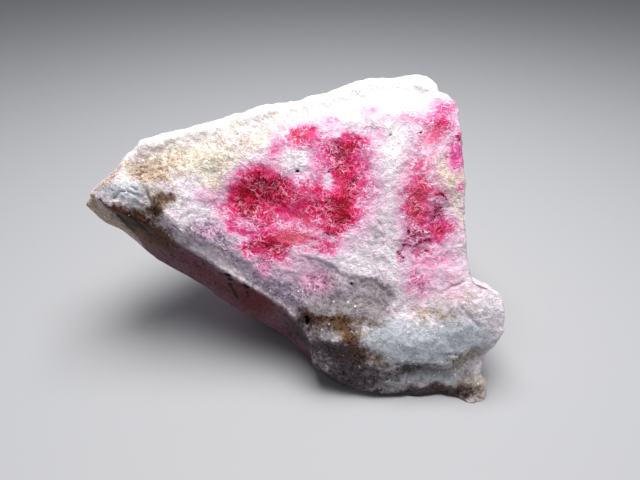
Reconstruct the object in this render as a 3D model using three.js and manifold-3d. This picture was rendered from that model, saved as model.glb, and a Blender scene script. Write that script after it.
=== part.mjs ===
// Rough tugtupite: one loose piece of rock, about 31 mm long, leaning on its broken lower edge.
//
// The piece is a thick, kite-shaped chip. Its broad broken face leans back and carries the red
// tugtupite; a narrow slanting side runs along its lower left, a straight broken side stands at
// its right, and a rounded lobe with a small foot ends it at the lower right. The hidden back is
// a few blunt fracture planes. Everything is measured in the frame of the broad face:
//   u  to the right along the face, v  up the slope of the face, w  into the stone.
// The part's own frame is X right, Y away, Z up, in millimetres, standing on Z = 0.

import * as THREE from 'three';
import { mergeVertices } from 'three/addons/utils/BufferGeometryUtils.js';
import Module from 'manifold-3d';

const wasm = await Module();
wasm.setup();

// ---- how finely the surface is divided ----
const HALF_GRID = 17; // grid cells from the middle of a patch to its edge
const LIP_ROWS = 2; // rows of cells from the rim of the face to the widest outline
const WALL_ROWS = 6; // rows of cells from the widest outline to the back
const STATIONS = 8 * HALF_GRID; // places round the stone

// ---- the broad face ----
const FACE_SLOPE = THREE.MathUtils.degToRad(60); // how steeply the face stands up from the ground
const FACE_MIDDLE_HEIGHT = 9.3; // height of the point u = 0, v = 0 above the ground
const FACE_CROWN = 0.6; // how far the middle of the face stands proud of its ends
const FACE_HALF_HEIGHT = 12; // distance up or down the slope at which the crown is spent
const SHOULDER_DROP = 0.7; // how far the face rolls back along its top edge
const SHOULDER_WIDTH = 2.2; // width of that roll
const UNDERCUT_START = -6.6; // v below which the face curls under
const UNDERCUT_RATE = 0.055; // how fast it curls
const LEDGE_EDGE = 0.7; // width of the sudden part of a ledge

// Rim of the broad face (u, v), anticlockwise from the lower right.
const FACE_RIM = [
  [10.9, -7.8], [11.1, -6.8], [12.0, -5.7], [12.3, -4.9], [12.1, -2.6], [11.7, -2.0],
  [11.1, -1.7], [10.1, -1.3], [9.8, -0.1], [9.4, 5.1], [9.1, 9.1], [8.9, 10.3],
  [8.5, 10.9], [7.9, 11.4], [7.4, 11.4], [7.1, 11.8], [6.7, 12.2], [4.6, 12.2],
  [3.2, 12.2], [2.0, 12.0], [-0.1, 11.3], [-2.1, 10.8], [-5.3, 10.2], [-9.0, 9.1],
  [-11.6, 8.6], [-13.1, 8.1], [-14.2, 6.9], [-15.7, 5.3], [-16.4, 4.5], [-15.5, 3.8],
  [-13.9, 3.1], [-10.4, 1.0], [-7.4, -0.9], [-4.9, -2.4], [-3.3, -3.4], [-2.4, -4.5],
  [-1.2, -6.3], [-1.2, -7.4], [-0.1, -8.2], [2.0, -9.2], [3.7, -9.6], [6.2, -9.8],
  [8.2, -9.2], [9.7, -9.7], [10.7, -8.9],
];

// Widest outline of the stone (u, v, w), anticlockwise from the lower right.
const BELT = [
  [11.1, -8.5, 1.2], [11.3, -7.1, 1.0], [12.1, -5.9, 0.8], [12.4, -5.2, 1.0], [12.4, -2.9, 1.5],
  [12.0, -2.2, 1.5], [11.4, -1.9, 1.5], [10.5, -1.5, 1.2], [10.1, -0.2, 1.0], [9.7, 5.1, 1.0],
  [9.5, 9.2, 1.0], [9.3, 10.7, 1.2], [8.9, 11.4, 1.3], [8.3, 11.9, 1.4], [7.8, 12.0, 1.4],
  [7.6, 12.6, 1.6], [7.0, 13.2, 1.6], [6.2, 13.4, 1.6], [4.7, 13.1, 1.6], [3.2, 13.1, 1.6],
  [2.0, 13.0, 1.6], [-0.1, 12.1, 1.6], [-2.2, 11.5, 1.6], [-4.3, 11.1, 1.6], [-9.4, 9.6, 1.6],
  [-12.2, 9.0, 1.6], [-13.7, 8.5, 1.6], [-15.0, 7.2, 1.6], [-15.4, 6.5, 1.6], [-17.4, 4.9, 2.0],
  [-18.4, 4.0, 2.6], [-17.9, 3.1, 3.3], [-16.4, 1.8, 4.0], [-13.6, -0.5, 4.0], [-10.4, -2.5, 4.0],
  [-6.5, -5.0, 4.0], [-3.3, -6.6, 4.0], [-1.2, -8.5, 4.0], [-0.1, -9.2, 3.0], [2.1, -9.9, 2.0],
  [3.9, -10.2, 1.6], [6.4, -10.3, 1.1], [8.3, -10.0, 1.0], [9.4, -10.2, 0.8], [10.1, -10.5, 0.4],
  [11.0, -11.0, 0.1], [11.7, -10.6, 0.6], [11.7, -9.4, 1.2],
];

// Top edge of the face (u, v), along which it rolls back.
const TOP_EDGE = [[-14.2, 6.9], [-9.0, 9.1], [-0.1, 11.3], [3.2, 12.2], [7.0, 12.2]];

// Broad lumps (positive) and hollows (negative) of the face: middle, half widths, height.
const LUMPS = [
  { at: [10.4, -4.0], size: [2.6, 2.4], height: 0.8 }, // lobe at the lower right
  { at: [5.2, -5.6], size: [3.0, 1.5], height: 0.5 }, // smooth grey swell under the chip
  { at: [0.3, -5.9], size: [1.7, 0.9], height: 0.5 }, // cream knob at the bottom edge
  { at: [10.9, -9.6], size: [0.9, 1.0], height: 0.5 }, // foot
  { at: [4.6, 5.5], size: [1.6, 4.0], height: 0.3 }, // white rib between the two red fields
  { at: [-5.2, 4.0], size: [3.0, 1.6], height: -0.4 }, // left red hollow
  { at: [1.2, 6.4], size: [1.4, 2.4], height: -0.35 }, // middle red hollow
  { at: [7.0, 3.4], size: [1.4, 1.8], height: -0.3 }, // right red hollow
  { at: [-9.5, 1.6], size: [2.6, 1.2], height: 0.3 }, // white swell above the slanting side
];

// Broken steps of the face: the surface drops on the right of the line and climbs back over run.
const LEDGES = [
  { // scalloped upper edge of the grey chip
    line: [[3.1, -5.0], [4.7, -2.6], [3.5, -1.5], [2.2, -1.1], [0.9, -0.9], [-0.3, 0.1], [-2.5, 0.3]]
      .reverse(),
    drop: 0.7, run: 4.5, fade: 2.0,
  },
  { // overhanging step above the foot
    line: [[4.6, -8.0], [7.3, -8.0], [8.8, -8.2], [9.7, -7.5], [11.8, -5.9]],
    drop: 0.9, run: 3.0, fade: 1.5,
  },
  { // step that parts the stained tip from the sugary face
    line: [[-9.4, 1.2], [-10.9, 2.2], [-12.1, 3.8], [-13.0, 5.7]].reverse(),
    drop: 0.5, run: 2.2, fade: 1.0,
  },
];

// ---- the sides and the back ----
const LEAST_LIP = 0.15; // the face's rim always lies this far inside the widest outline
const ROUND_LIP = 1.2; // a lip narrower than this is rounded over
const FLAT_LIP = 2.2; // a lip wider than this is a flat slanting side
const BACK_SHRINK = 0.86; // size of the back against the widest outline
const BACK_BLUR = 8; // stations on each side over which the back evens out the outline
const BACK_WAVES = [{ lobes: 3, amount: 0.05, turn: 1.0 }, { lobes: 5, amount: 0.03, turn: 2.0 }];
const BACK_DRAW_IN = 1.7; // power law by which the wall draws in towards the back

// Back fracture planes: depth of the back is the least of depth + slopeU u + slopeV v.
const BACK_PLANES = [
  { depth: 12.2, slopeU: 0.10, slopeV: 0.06 },
  { depth: 13.2, slopeU: 0.46, slopeV: 0.10 },
  { depth: 15.6, slopeU: -0.05, slopeV: -0.62 },
  { depth: 15.0, slopeU: -0.48, slopeV: 0.05 },
];

// ---- fracture facets all over the surface ----
const FACET_LAYERS = [ // mean width, how far a facet stands off, its slope, and its own scatter
  { width: 6.5, depth: 0.7, tilt: 0.28, salt: 1 },
  { width: 2.6, depth: 0.16, tilt: 0.24, salt: 2 },
];
const FACET_CREASE = 12; // how narrowly neighbouring facets blend
const FRONT_ROUGHNESS = 0.22; // share of the facet depth on the face and its silhouette
const ROUGH_FROM = 3.5; // depth at which the facets start to deepen
const ROUGH_BY = 8.5; // depth at which the full facet depth is reached

// ---- small helpers ----
const clamp01 = (x) => Math.min(1, Math.max(0, x));
const smooth = (x) => clamp01(x) ** 2 * (3 - 2 * clamp01(x));
const mix = (a, b, t) => a + (b - a) * t;
const mixPoints = (p, q, t) => p.map((value, axis) => mix(value, q[axis], t));
const distanceBetween = (p, q) => Math.hypot(q[0] - p[0], q[1] - p[1]);

// ---- outlines ----
/** Points spaced evenly along a closed outline, each with the outline's depth at that place. */
function walkOutline(outline, count) {
  const lengths = outline.map((p, i) => distanceBetween(p, outline[(i + 1) % outline.length]));
  const total = lengths.reduce((sum, length) => sum + length, 0);
  const points = [];
  let edge = 0;
  let passed = 0;
  for (let k = 0; k < count; k += 1) {
    const want = (total * k) / count;
    while (passed + lengths[edge] < want) {
      passed += lengths[edge];
      edge += 1;
    }
    const next = outline[(edge + 1) % outline.length];
    points.push(mixPoints(outline[edge], next, (want - passed) / lengths[edge]));
  }
  return points;
}

/** Distance from the middle of the face to an outline, towards (u, v). */
function outlineRadius(outline, u, v) {
  const reach = Math.hypot(u, v);
  const [cu, cv] = [u / reach, v / reach];
  for (let i = 0; i < outline.length; i += 1) {
    const a = outline[i];
    const b = outline[(i + 1) % outline.length];
    const sideA = cu * a[1] - cv * a[0];
    const sideB = cu * b[1] - cv * b[0];
    if (sideA <= 0 && sideB > 0) {
      const crossing = mixPoints(a, b, sideA / (sideA - sideB));
      const radius = crossing[0] * cu + crossing[1] * cv;
      if (radius > 0) return radius;
    }
  }
  throw new Error('the outline does not go round the middle of the face');
}

// ---- relief of the face and shape of the back ----
/** Nearest place on a line of points: distance, side (1 on its right) and way to its nearer end. */
function besideLine(line, u, v) {
  let best = { distance: Infinity, side: 1, inside: 0 };
  const lengths = line.slice(1).map((b, i) => distanceBetween(line[i], b));
  const total = lengths.reduce((sum, length) => sum + length, 0);
  let start = 0;
  lengths.forEach((length, i) => {
    const [au, av] = line[i];
    const du = (line[i + 1][0] - au) / length;
    const dv = (line[i + 1][1] - av) / length;
    const along = Math.min(length, Math.max(0, (u - au) * du + (v - av) * dv));
    const distance = Math.hypot(u - au - along * du, v - av - along * dv);
    if (distance < best.distance) {
      const side = du * (v - av) - dv * (u - au) <= 0 ? 1 : -1;
      best = { distance, side, inside: Math.min(start + along, total - start - along) };
    }
    start += length;
  });
  return best;
}

/** Drop below a ledge: sudden at its line, climbing back over its run, dying out at its ends. */
function ledgeDrop({ line, drop, run, fade }, u, v) {
  const { distance, side, inside } = besideLine(line, u, v);
  if (side < 0 || distance > run) return 0;
  return drop * smooth(distance / LEDGE_EDGE) * (1 - smooth(distance / run)) * smooth(inside / fade);
}

/** Depth w of the broad face at (u, v): crown, rolled top, curled bottom, lumps and ledges. */
function faceDepth(u, v) {
  let height = FACE_CROWN * (1 - (v / FACE_HALF_HEIGHT) ** 2);
  height -= SHOULDER_DROP * smooth(1 - besideLine(TOP_EDGE, u, v).distance / SHOULDER_WIDTH);
  height -= UNDERCUT_RATE * Math.max(0, UNDERCUT_START - v) ** 2;
  for (const { at, size, height: rise } of LUMPS) {
    height += rise * Math.exp(-(((u - at[0]) / size[0]) ** 2) - ((v - at[1]) / size[1]) ** 2);
  }
  for (const ledge of LEDGES) height -= ledgeDrop(ledge, u, v);
  return -height;
}

/** Depth w of the back at (u, v): the least of the fracture planes. */
function backDepth(u, v) {
  return Math.min(...BACK_PLANES.map((p) => p.depth + p.slopeU * u + p.slopeV * v));
}

// ---- fracture facets ----
/** A number from 0 to 1 that is always the same for the same cell and salt. */
function scatter(i, j, k, salt) {
  const x = Math.sin(i * 127.1 + j * 311.7 + k * 74.7 + salt * 53.3) * 43758.5453;
  return x - Math.floor(x);
}

/** Height of tilted facets: planes about scattered seeds, blended narrowly where they meet. */
function facetHeight(point, { width, depth, tilt, salt }) {
  const place3 = point.toArray().map((x) => x / width);
  let sum = 0;
  let weights = 0;
  for (let n = 0; n < 27; n += 1) {
    const steps = [(n % 3) - 1, (Math.floor(n / 3) % 3) - 1, Math.floor(n / 9) - 1];
    const cell = place3.map((x, axis) => Math.floor(x) + steps[axis]);
    const away = place3.map((x, axis) => x - cell[axis] - scatter(...cell, salt + axis));
    const weight = Math.exp(-FACET_CREASE * away.reduce((s, d) => s + d * d, 0));
    const lean = away.reduce((s, d, axis) => s + d * (scatter(...cell, salt + 5 + axis) - 0.5), 0);
    sum += weight * (depth * (2 * scatter(...cell, salt + 3) - 1) + tilt * width * lean);
    weights += weight;
  }
  return sum / weights;
}

// ---- the three outlines, station by station ----
const belt = walkOutline(BELT, STATIONS);
const beltRadii = belt.map(([u, v]) => Math.hypot(u, v));

/** The point at a given distance from the middle of the face, in the direction of a station. */
const towardsStation = (index, radius) =>
  [belt[index][0], belt[index][1]].map((x) => (x * radius) / beltRadii[index]);

const rim = belt.map(([u, v], index) => {
  const radius = Math.min(outlineRadius(FACE_RIM, u, v), beltRadii[index] - LEAST_LIP);
  return towardsStation(index, radius);
});

const back = belt.map(([u, v], index) => {
  const turn = Math.atan2(v, u);
  let size = BACK_SHRINK;
  for (const wave of BACK_WAVES) size += wave.amount * Math.sin(wave.lobes * turn + wave.turn);
  let sum = 0;
  for (let k = index - BACK_BLUR; k <= index + BACK_BLUR; k += 1) {
    sum += beltRadii[(k + STATIONS) % STATIONS];
  }
  return towardsStation(index, (size * sum) / (2 * BACK_BLUR + 1));
});

// ---- the closed surface ----
const faceRight = new THREE.Vector3(1, 0, 0);
const faceUp = new THREE.Vector3(0, Math.cos(FACE_SLOPE), Math.sin(FACE_SLOPE));
const faceIn = new THREE.Vector3(0, Math.sin(FACE_SLOPE), -Math.cos(FACE_SLOPE));
const faceMiddle = new THREE.Vector3(0, 0, FACE_MIDDLE_HEIGHT);

/** A point of the stone from its place (u, v, w) in the frame of the face. */
function place(u, v, w) {
  return faceMiddle.clone()
    .addScaledVector(faceRight, u).addScaledVector(faceUp, v).addScaledVector(faceIn, w);
}

/** Steps round the square ring through grid point (a, b), from its lower right corner. */
function stepsRound(ring, a, b) {
  if (a === ring) return b + ring;
  if (b === ring) return 3 * ring - a;
  if (a === -ring) return 5 * ring - b;
  return 7 * ring + a;
}

/** Place (u, v) of grid point (a, b) in a patch that fills an outline of stations. */
function fillOutline(outline, a, b) {
  const ring = Math.max(Math.abs(a), Math.abs(b));
  if (ring === 0) return [0, 0];
  const exact = (stepsRound(ring, a, b) * STATIONS) / (8 * ring);
  const index = Math.floor(exact);
  const edge = mixPoints(outline[index % STATIONS], outline[(index + 1) % STATIONS], exact - index);
  return edge.map((x) => (x * ring) / HALF_GRID);
}

/** A point of the broad face for grid point (a, b). */
function facePoint(a, b) {
  const [u, v] = fillOutline(rim, a, b);
  return place(u, v, faceDepth(u, v));
}

/** A point of the back for grid point (a, b). */
function backPoint(a, b) {
  const [u, v] = fillOutline(back, a, b);
  return place(u, v, backDepth(u, v));
}

/** A point of the side: row 0 is the rim of the face, then the widest outline, last the back. */
function sidePoint(row, station) {
  const index = station % STATIONS;
  const [beltU, beltV, beltDepth] = belt[index];
  if (row < LIP_ROWS) {
    const t = row / LIP_ROWS;
    const lip = distanceBetween(rim[index], belt[index]);
    const flat = smooth((lip - ROUND_LIP) / (FLAT_LIP - ROUND_LIP));
    const out = mix(Math.sin((t * Math.PI) / 2), t, flat);
    const down = mix(1 - Math.cos((t * Math.PI) / 2), t, flat);
    const [u, v] = mixPoints(rim[index], belt[index], out);
    return place(u, v, mix(faceDepth(...rim[index]), beltDepth, down));
  }
  const t = (row - LIP_ROWS) / WALL_ROWS;
  const [u, v] = mixPoints([beltU, beltV], back[index], t ** BACK_DRAW_IN);
  return place(u, v, mix(beltDepth, backDepth(...back[index]), t));
}

/** Two triangles for each cell of a grid of points. */
function pushGrid(triangles, rows, columns, pointAt) {
  for (let i = 0; i < rows; i += 1) {
    for (let j = 0; j < columns; j += 1) {
      const a = pointAt(i, j);
      const c = pointAt(i + 1, j + 1);
      triangles.push(a, pointAt(i + 1, j), c, a, c, pointAt(i, j + 1));
    }
  }
}

/** The bare stone before its facets and its flat underside. */
function closedSurface() {
  const triangles = [];
  const full = 2 * HALF_GRID;
  pushGrid(triangles, full, full, (i, j) => facePoint(i - HALF_GRID, j - HALF_GRID));
  pushGrid(triangles, full, full, (i, j) => backPoint(j - HALF_GRID, i - HALF_GRID));
  pushGrid(triangles, LIP_ROWS + WALL_ROWS, STATIONS, sidePoint);
  return mergeVertices(new THREE.BufferGeometry().setFromPoints(triangles), 1e-3);
}

/** Pushes every point of the surface out or in by the facets' height. */
function breakIntoFacets(geometry) {
  geometry.computeVertexNormals();
  const positions = geometry.getAttribute('position');
  const normals = geometry.getAttribute('normal');
  const point = new THREE.Vector3();
  const normal = new THREE.Vector3();
  for (let i = 0; i < positions.count; i += 1) {
    point.fromBufferAttribute(positions, i);
    normal.fromBufferAttribute(normals, i);
    const depth = point.clone().sub(faceMiddle).dot(faceIn);
    const roughen = smooth((depth - ROUGH_FROM) / (ROUGH_BY - ROUGH_FROM));
    const height = FACET_LAYERS.reduce((sum, layer) => sum + facetHeight(point, layer), 0);
    point.addScaledVector(normal, mix(FRONT_ROUGHNESS, 1, roughen) * height);
    positions.setXYZ(i, point.x, point.y, point.z);
  }
  geometry.deleteAttribute('normal');
  return geometry;
}

/** A manifold solid from a closed geometry whose shared points are merged. */
function toSolid(geometry) {
  return new wasm.Manifold(new wasm.Mesh({
    numProp: 3,
    vertProperties: new Float32Array(geometry.getAttribute('position').array),
    triVerts: new Uint32Array(geometry.index.array),
  }));
}

/** The block of ground under Z = 0 that trims the stone's resting side flat. */
function groundBlock() {
  const size = 80;
  const block = new THREE.BoxGeometry(size, size, size).translate(0, 0, -size / 2);
  block.deleteAttribute('normal');
  block.deleteAttribute('uv');
  return toSolid(mergeVertices(block));
}

/** The stone, trimmed flat underneath and centred over the origin. */
function stoneGeometry() {
  const trimmed = toSolid(breakIntoFacets(closedSurface())).subtract(groundBlock()).getMesh();
  const geometry = new THREE.BufferGeometry();
  const points = new Float32Array(trimmed.vertProperties);
  geometry.setAttribute('position', new THREE.BufferAttribute(points, 3));
  geometry.setIndex(new THREE.BufferAttribute(new Uint32Array(trimmed.triVerts), 1));
  geometry.computeBoundingBox();
  const middle = geometry.boundingBox.getCenter(new THREE.Vector3());
  geometry.translate(-middle.x, -middle.y, -geometry.boundingBox.min.z);
  return geometry;
}

const stone = new THREE.Mesh(
  stoneGeometry(),
  new THREE.MeshStandardMaterial({ color: 0xd8b8bf, roughness: 0.7, metalness: 0 }),
);
stone.name = 'tugtupite_stone';

const part = new THREE.Group();
part.add(stone);

export default part;
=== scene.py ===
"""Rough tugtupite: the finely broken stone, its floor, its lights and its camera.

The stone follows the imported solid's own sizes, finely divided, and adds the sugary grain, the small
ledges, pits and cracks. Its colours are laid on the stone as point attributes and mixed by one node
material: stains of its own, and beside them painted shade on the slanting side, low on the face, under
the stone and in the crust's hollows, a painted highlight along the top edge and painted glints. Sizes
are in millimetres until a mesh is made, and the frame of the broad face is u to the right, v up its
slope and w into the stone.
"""

import functools
import itertools
import logging
import math
from dataclasses import dataclass, field
from enum import Enum

import bmesh
import bpy
import numpy as np
from mathutils import Matrix, Vector


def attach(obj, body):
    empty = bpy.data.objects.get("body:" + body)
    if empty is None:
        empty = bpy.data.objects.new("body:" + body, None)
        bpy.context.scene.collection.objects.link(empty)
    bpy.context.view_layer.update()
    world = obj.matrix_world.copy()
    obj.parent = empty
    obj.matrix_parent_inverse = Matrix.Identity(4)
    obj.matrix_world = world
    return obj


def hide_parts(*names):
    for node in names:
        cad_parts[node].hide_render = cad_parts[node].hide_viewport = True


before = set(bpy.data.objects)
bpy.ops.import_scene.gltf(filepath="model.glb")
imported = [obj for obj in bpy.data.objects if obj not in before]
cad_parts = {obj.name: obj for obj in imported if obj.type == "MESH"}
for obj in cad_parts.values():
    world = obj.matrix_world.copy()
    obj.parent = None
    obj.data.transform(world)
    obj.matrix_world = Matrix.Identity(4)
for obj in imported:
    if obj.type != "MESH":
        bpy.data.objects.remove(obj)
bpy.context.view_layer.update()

NODE = "tugtupite_stone"
PIECE = "tugtupite_crust"
BODY = "root"
MM = 0.001

log = logging.getLogger("tugtupite")

Colour = tuple[float, float, float, float]
Socket = bpy.types.NodeSocket

# Where a value eases in: its low and high ends and, where they aren't 0 and 1, what it eases from and to.
Ease = tuple[float, ...]

# The scatter is the usual sine hash: a mix of the three indices, a step for the salt and a large sine.
SCATTER_MIX = np.array([127.1, 311.7, 74.7])
SCATTER_SALT = 53.3
SCATTER_SIZE = 43758.5453


class Stain(Enum):
    """The colours that lie on the stone, each kept as a point attribute of this name."""

    RED = "red"
    MAGENTA = "magenta"
    SALMON = "salmon"
    CREAM = "cream"
    # painted highlight: plain bright white standing in for the strong light on the top edge
    PAINTED_GLARE = "painted_glare"
    PALE = "pale"
    PLUM = "plum"
    TAN = "tan"
    OCHRE = "ochre"
    UMBER = "umber"
    GREY = "grey"
    LILAC = "lilac"
    # dark mineral and painted shade: darker low on the face, along the bottom edge and on the hidden sides
    # near the floor, where the stone is in shade
    DIRT_AND_SHADE = "dirt_and_shade"
    # the slanting side: its own pinkish brown, painted darker as painted shade, for it faces down, away
    # from the key light
    SHADED_RIND = "shaded_rind"
    # deep red on the slanting side, painted darker as painted shade as well
    SHADED_BLUSH = "shaded_blush"
    VEIN = "vein"
    # the black streaks of the slanting side and the cracks and pits, all painted dark
    DARK_MARKS = "dark_marks"


# ---- small arithmetic ----
def smooth(x: np.ndarray) -> np.ndarray:
    """Eases from 0 to 1: three squares less two cubes of the limited value."""
    t = np.clip(x, 0.0, 1.0)
    return t * t * (3 - 2 * t)


def mix(a: np.ndarray, b: np.ndarray, share: np.ndarray) -> np.ndarray:
    """Goes from a to b as share goes from 0 to 1."""
    return a + (b - a) * share


def scatter(cells: np.ndarray, salt: int) -> np.ndarray:
    """Gives each cell of a lattice a steady number from 0 to 1.

    The number is the fraction left of a large sine of the cell's three indices.

    Args:
        cells: whole-number cells, shape (n, 3).
        salt: which of many such scatters is wanted.

    Returns:
        One number for each cell.
    """
    x = np.sin(cells @ SCATTER_MIX + salt * SCATTER_SALT) * SCATTER_SIZE
    return x - np.floor(x)


def cloud(points: np.ndarray, width: float, salt: int, layers: int = 1) -> np.ndarray:
    """Soft noise from -1 to 1: scattered values at cell corners, eased between them.

    Each further layer halves the width and the amount, and the sum is scaled back.

    Args:
        points: places in millimetres, shape (n, 3).
        width: size of the widest cells.
        salt: which scatter is used.
        layers: number of layers.

    Returns:
        One value for each place.
    """
    total = np.zeros(len(points))
    amount = 1.0
    for layer in range(layers):
        place = points / (width * amount)
        cell = np.floor(place)
        part = smooth(place - cell)
        for corner in itertools.product((0, 1), repeat=3):
            weight = np.prod(np.where(corner, part, 1 - part), axis=1)
            total += amount * weight * (2 * scatter(cell + corner, salt + layer) - 1)
        amount /= 2
    return total / (2 - 2 * amount)


# ---- the frame of the face and its outlines ----
@dataclass(frozen=True)
class FaceFrame:
    """The leaning frame of the broad face: its middle and slope in the scene's millimetres."""

    slope: float = math.radians(60)
    middle: tuple[float, float, float] = (2.9589, -4.4402, 9.3)

    def axes(self) -> np.ndarray:
        """The directions of u, v and w as rows."""
        level, rise = math.cos(self.slope), math.sin(self.slope)
        return np.array([[1, 0, 0], [0, level, rise], [0, rise, -level]])

    def place(self, uvw: np.ndarray) -> np.ndarray:
        """Points of the scene from their places in the frame of the face."""
        return uvw @ self.axes() + np.array(self.middle)

    def measure(self, points: np.ndarray) -> np.ndarray:
        """Places in the frame of the face from points of the scene."""
        return (points - np.array(self.middle)) @ self.axes().T

    def lattice(self, points: np.ndarray) -> np.ndarray:
        """Points as the facets count them, from the ground under the middle of the face."""
        return points - np.array([self.middle[0], self.middle[1], 0.0])


def along_line(corners: np.ndarray, uv: np.ndarray) -> tuple[np.ndarray, np.ndarray, np.ndarray]:
    """Finds the nearest place on an open line for many points.

    For each stretch of the line the foot of the perpendicular is held between its two ends, and the
    stretch with the shortest distance counts.

    Args:
        corners: corners of the line, shape (k, 2).
        uv: points, shape (n, 2).

    Returns:
        Distance to the line, whether the point lies on its right, and way to the line's nearer end.
    """
    lengths = np.linalg.norm(np.diff(corners, axis=0), axis=1)
    starts = np.concatenate([[0.0], np.cumsum(lengths)])
    best = np.full(len(uv), np.inf)
    right = np.zeros(len(uv), bool)
    inside = np.zeros(len(uv))
    for start, length, a, b in zip(starts, lengths, corners, corners[1:]):
        heading = (b - a) / length
        away = uv - a
        along = np.clip(away @ heading, 0, length)
        distance = np.linalg.norm(away - along[:, None] * heading, axis=1)
        nearer = distance < best
        best = np.where(nearer, distance, best)
        right = np.where(nearer, heading[0] * away[:, 1] - heading[1] * away[:, 0] <= 0, right)
        inside = np.where(nearer, np.minimum(start + along, starts[-1] - start - along), inside)
    return best, right, inside


@dataclass(frozen=True)
class Outline:
    """A closed outline of the stone, anticlockwise from the lower right: (u, v) or (u, v, w)."""

    corners: tuple[tuple[float, ...], ...]

    def closed(self) -> np.ndarray:
        """The corners with the first one repeated at the end."""
        return np.array(self.corners + self.corners[:1])

    def walked(self, count: int) -> np.ndarray:
        """Spaces points evenly along the outline, by its length in u and v.

        Args:
            count: number of points.

        Returns:
            One row for each point, with the corners' columns.
        """
        loop = self.closed()
        way = np.concatenate([[0], np.cumsum(np.hypot(*np.diff(loop[:, :2], axis=0).T))])
        wanted = np.arange(count) * way[-1] / count
        return np.stack([np.interp(wanted, way, column) for column in loop.T], axis=1)

    def radius(self, towards: np.ndarray) -> np.ndarray:
        """Measures from the middle of the face to the outline, along many rays.

        A ray crosses an edge whose ends lie on its two sides, at the edge's share given by the two
        ends' distances from the ray.

        Args:
            towards: one direction for each ray, shape (n, 2).

        Returns:
            The distance along each ray.
        """
        loop = self.closed()[:, :2]
        ray = towards / np.linalg.norm(towards, axis=1, keepdims=True)
        side = ray[:, :1] * loop[:, 1] - ray[:, 1:] * loop[:, 0]
        ahead = ray @ loop.T
        with np.errstate(divide="ignore", invalid="ignore"):
            share = side[:, :-1] / (side[:, :-1] - side[:, 1:])
            reach = mix(ahead[:, :-1], ahead[:, 1:], share)
        crossed = (side[:, :-1] <= 0) & (side[:, 1:] > 0) & (reach > 0)
        return np.max(np.where(crossed, reach, 0), axis=1)

    def depth_inside(self, uv: np.ndarray) -> np.ndarray:
        """Measures the distance to the outline, positive inside it.

        A point is inside where a level ray from it crosses the outline an odd number of times.

        Args:
            uv: places on the face, shape (n, 2).

        Returns:
            The distance for each place.
        """
        loop = self.closed()[:, :2]
        distance = along_line(loop, uv)[0]
        odd = np.zeros(len(uv), bool)
        for a, b in zip(loop, loop[1:]):
            spans = (a[1] > uv[:, 1]) != (b[1] > uv[:, 1])
            if a[1] != b[1]:
                crossing = a[0] + (uv[:, 1] - a[1]) * (b[0] - a[0]) / (b[1] - a[1])
                odd ^= spans & (uv[:, 0] < crossing)
        return np.where(odd, distance, -distance)


# The rim of the broad face, and the belt: the widest outline of the stone, with its depth w.
FACE_RIM = Outline((
    (10.9, -7.8), (11.1, -6.8), (12.0, -5.7), (12.3, -4.9), (12.1, -2.6), (11.7, -2.0),
    (11.1, -1.7), (10.1, -1.3), (9.8, -0.1), (9.4, 5.1), (9.1, 9.1), (8.9, 10.3),
    (8.5, 10.9), (7.9, 11.4), (7.4, 11.4), (7.1, 11.8), (6.7, 12.2), (4.6, 12.2),
    (3.2, 12.2), (2.0, 12.0), (-0.1, 11.3), (-2.1, 10.8), (-5.3, 10.2), (-9.0, 9.1),
    (-11.6, 8.6), (-13.1, 8.1), (-14.2, 6.9), (-15.7, 5.3), (-16.4, 4.5), (-15.5, 3.8),
    (-13.9, 3.1), (-10.4, 1.0), (-7.4, -0.9), (-4.9, -2.4), (-3.3, -3.4), (-2.4, -4.5),
    (-1.2, -6.3), (-1.2, -7.4), (-0.1, -8.2), (2.0, -9.2), (3.7, -9.6), (6.2, -9.8),
    (8.2, -9.2), (9.7, -9.7), (10.7, -8.9),
))

BELT = Outline((
    (11.1, -8.5, 1.2), (11.3, -7.1, 1.0), (12.1, -5.9, 0.8), (12.4, -5.2, 1.0), (12.4, -2.9, 1.5),
    (12.0, -2.2, 1.5), (11.4, -1.9, 1.5), (10.5, -1.5, 1.2), (10.1, -0.2, 1.0), (9.7, 5.1, 1.0),
    (9.5, 9.2, 1.0), (9.3, 10.7, 1.2), (8.9, 11.4, 1.3), (8.3, 11.9, 1.4), (7.8, 12.0, 1.4),
    (7.6, 12.6, 1.6), (7.0, 13.2, 1.6), (6.2, 13.4, 1.6), (4.7, 13.1, 1.6), (3.2, 13.1, 1.6),
    (2.0, 13.0, 1.6), (-0.1, 12.1, 1.6), (-2.2, 11.5, 1.6), (-4.3, 11.1, 1.6), (-9.4, 9.6, 1.6),
    (-12.2, 9.0, 1.6), (-13.7, 8.5, 1.6), (-15.0, 7.2, 1.6), (-15.4, 6.5, 1.6), (-17.4, 4.9, 2.0),
    (-18.4, 4.0, 2.6), (-17.9, 3.1, 3.3), (-16.4, 1.8, 4.0), (-13.6, -0.5, 4.0), (-10.4, -2.5, 4.0),
    (-6.5, -5.0, 4.0), (-3.3, -6.6, 4.0), (-1.2, -8.5, 4.0), (-0.1, -9.2, 3.0), (2.1, -9.9, 2.0),
    (3.9, -10.2, 1.6), (6.4, -10.3, 1.1), (8.3, -10.0, 1.0), (9.4, -10.2, 0.8), (10.1, -10.5, 0.4),
    (11.0, -11.0, 0.1), (11.7, -10.6, 0.6), (11.7, -9.4, 1.2),
))

# The edges of the face along which it falls away: to the top, and to the slanting side.
TOP_EDGE = np.array([(-14.2, 6.9), (-9.0, 9.1), (-0.1, 11.3), (3.2, 12.2), (7.0, 12.2)])
SLANT_EDGE = np.array([
    (-13.9, 3.1), (-10.4, 1.0), (-7.4, -0.9), (-4.9, -2.4), (-3.3, -3.4), (-2.4, -4.5),
])


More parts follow.
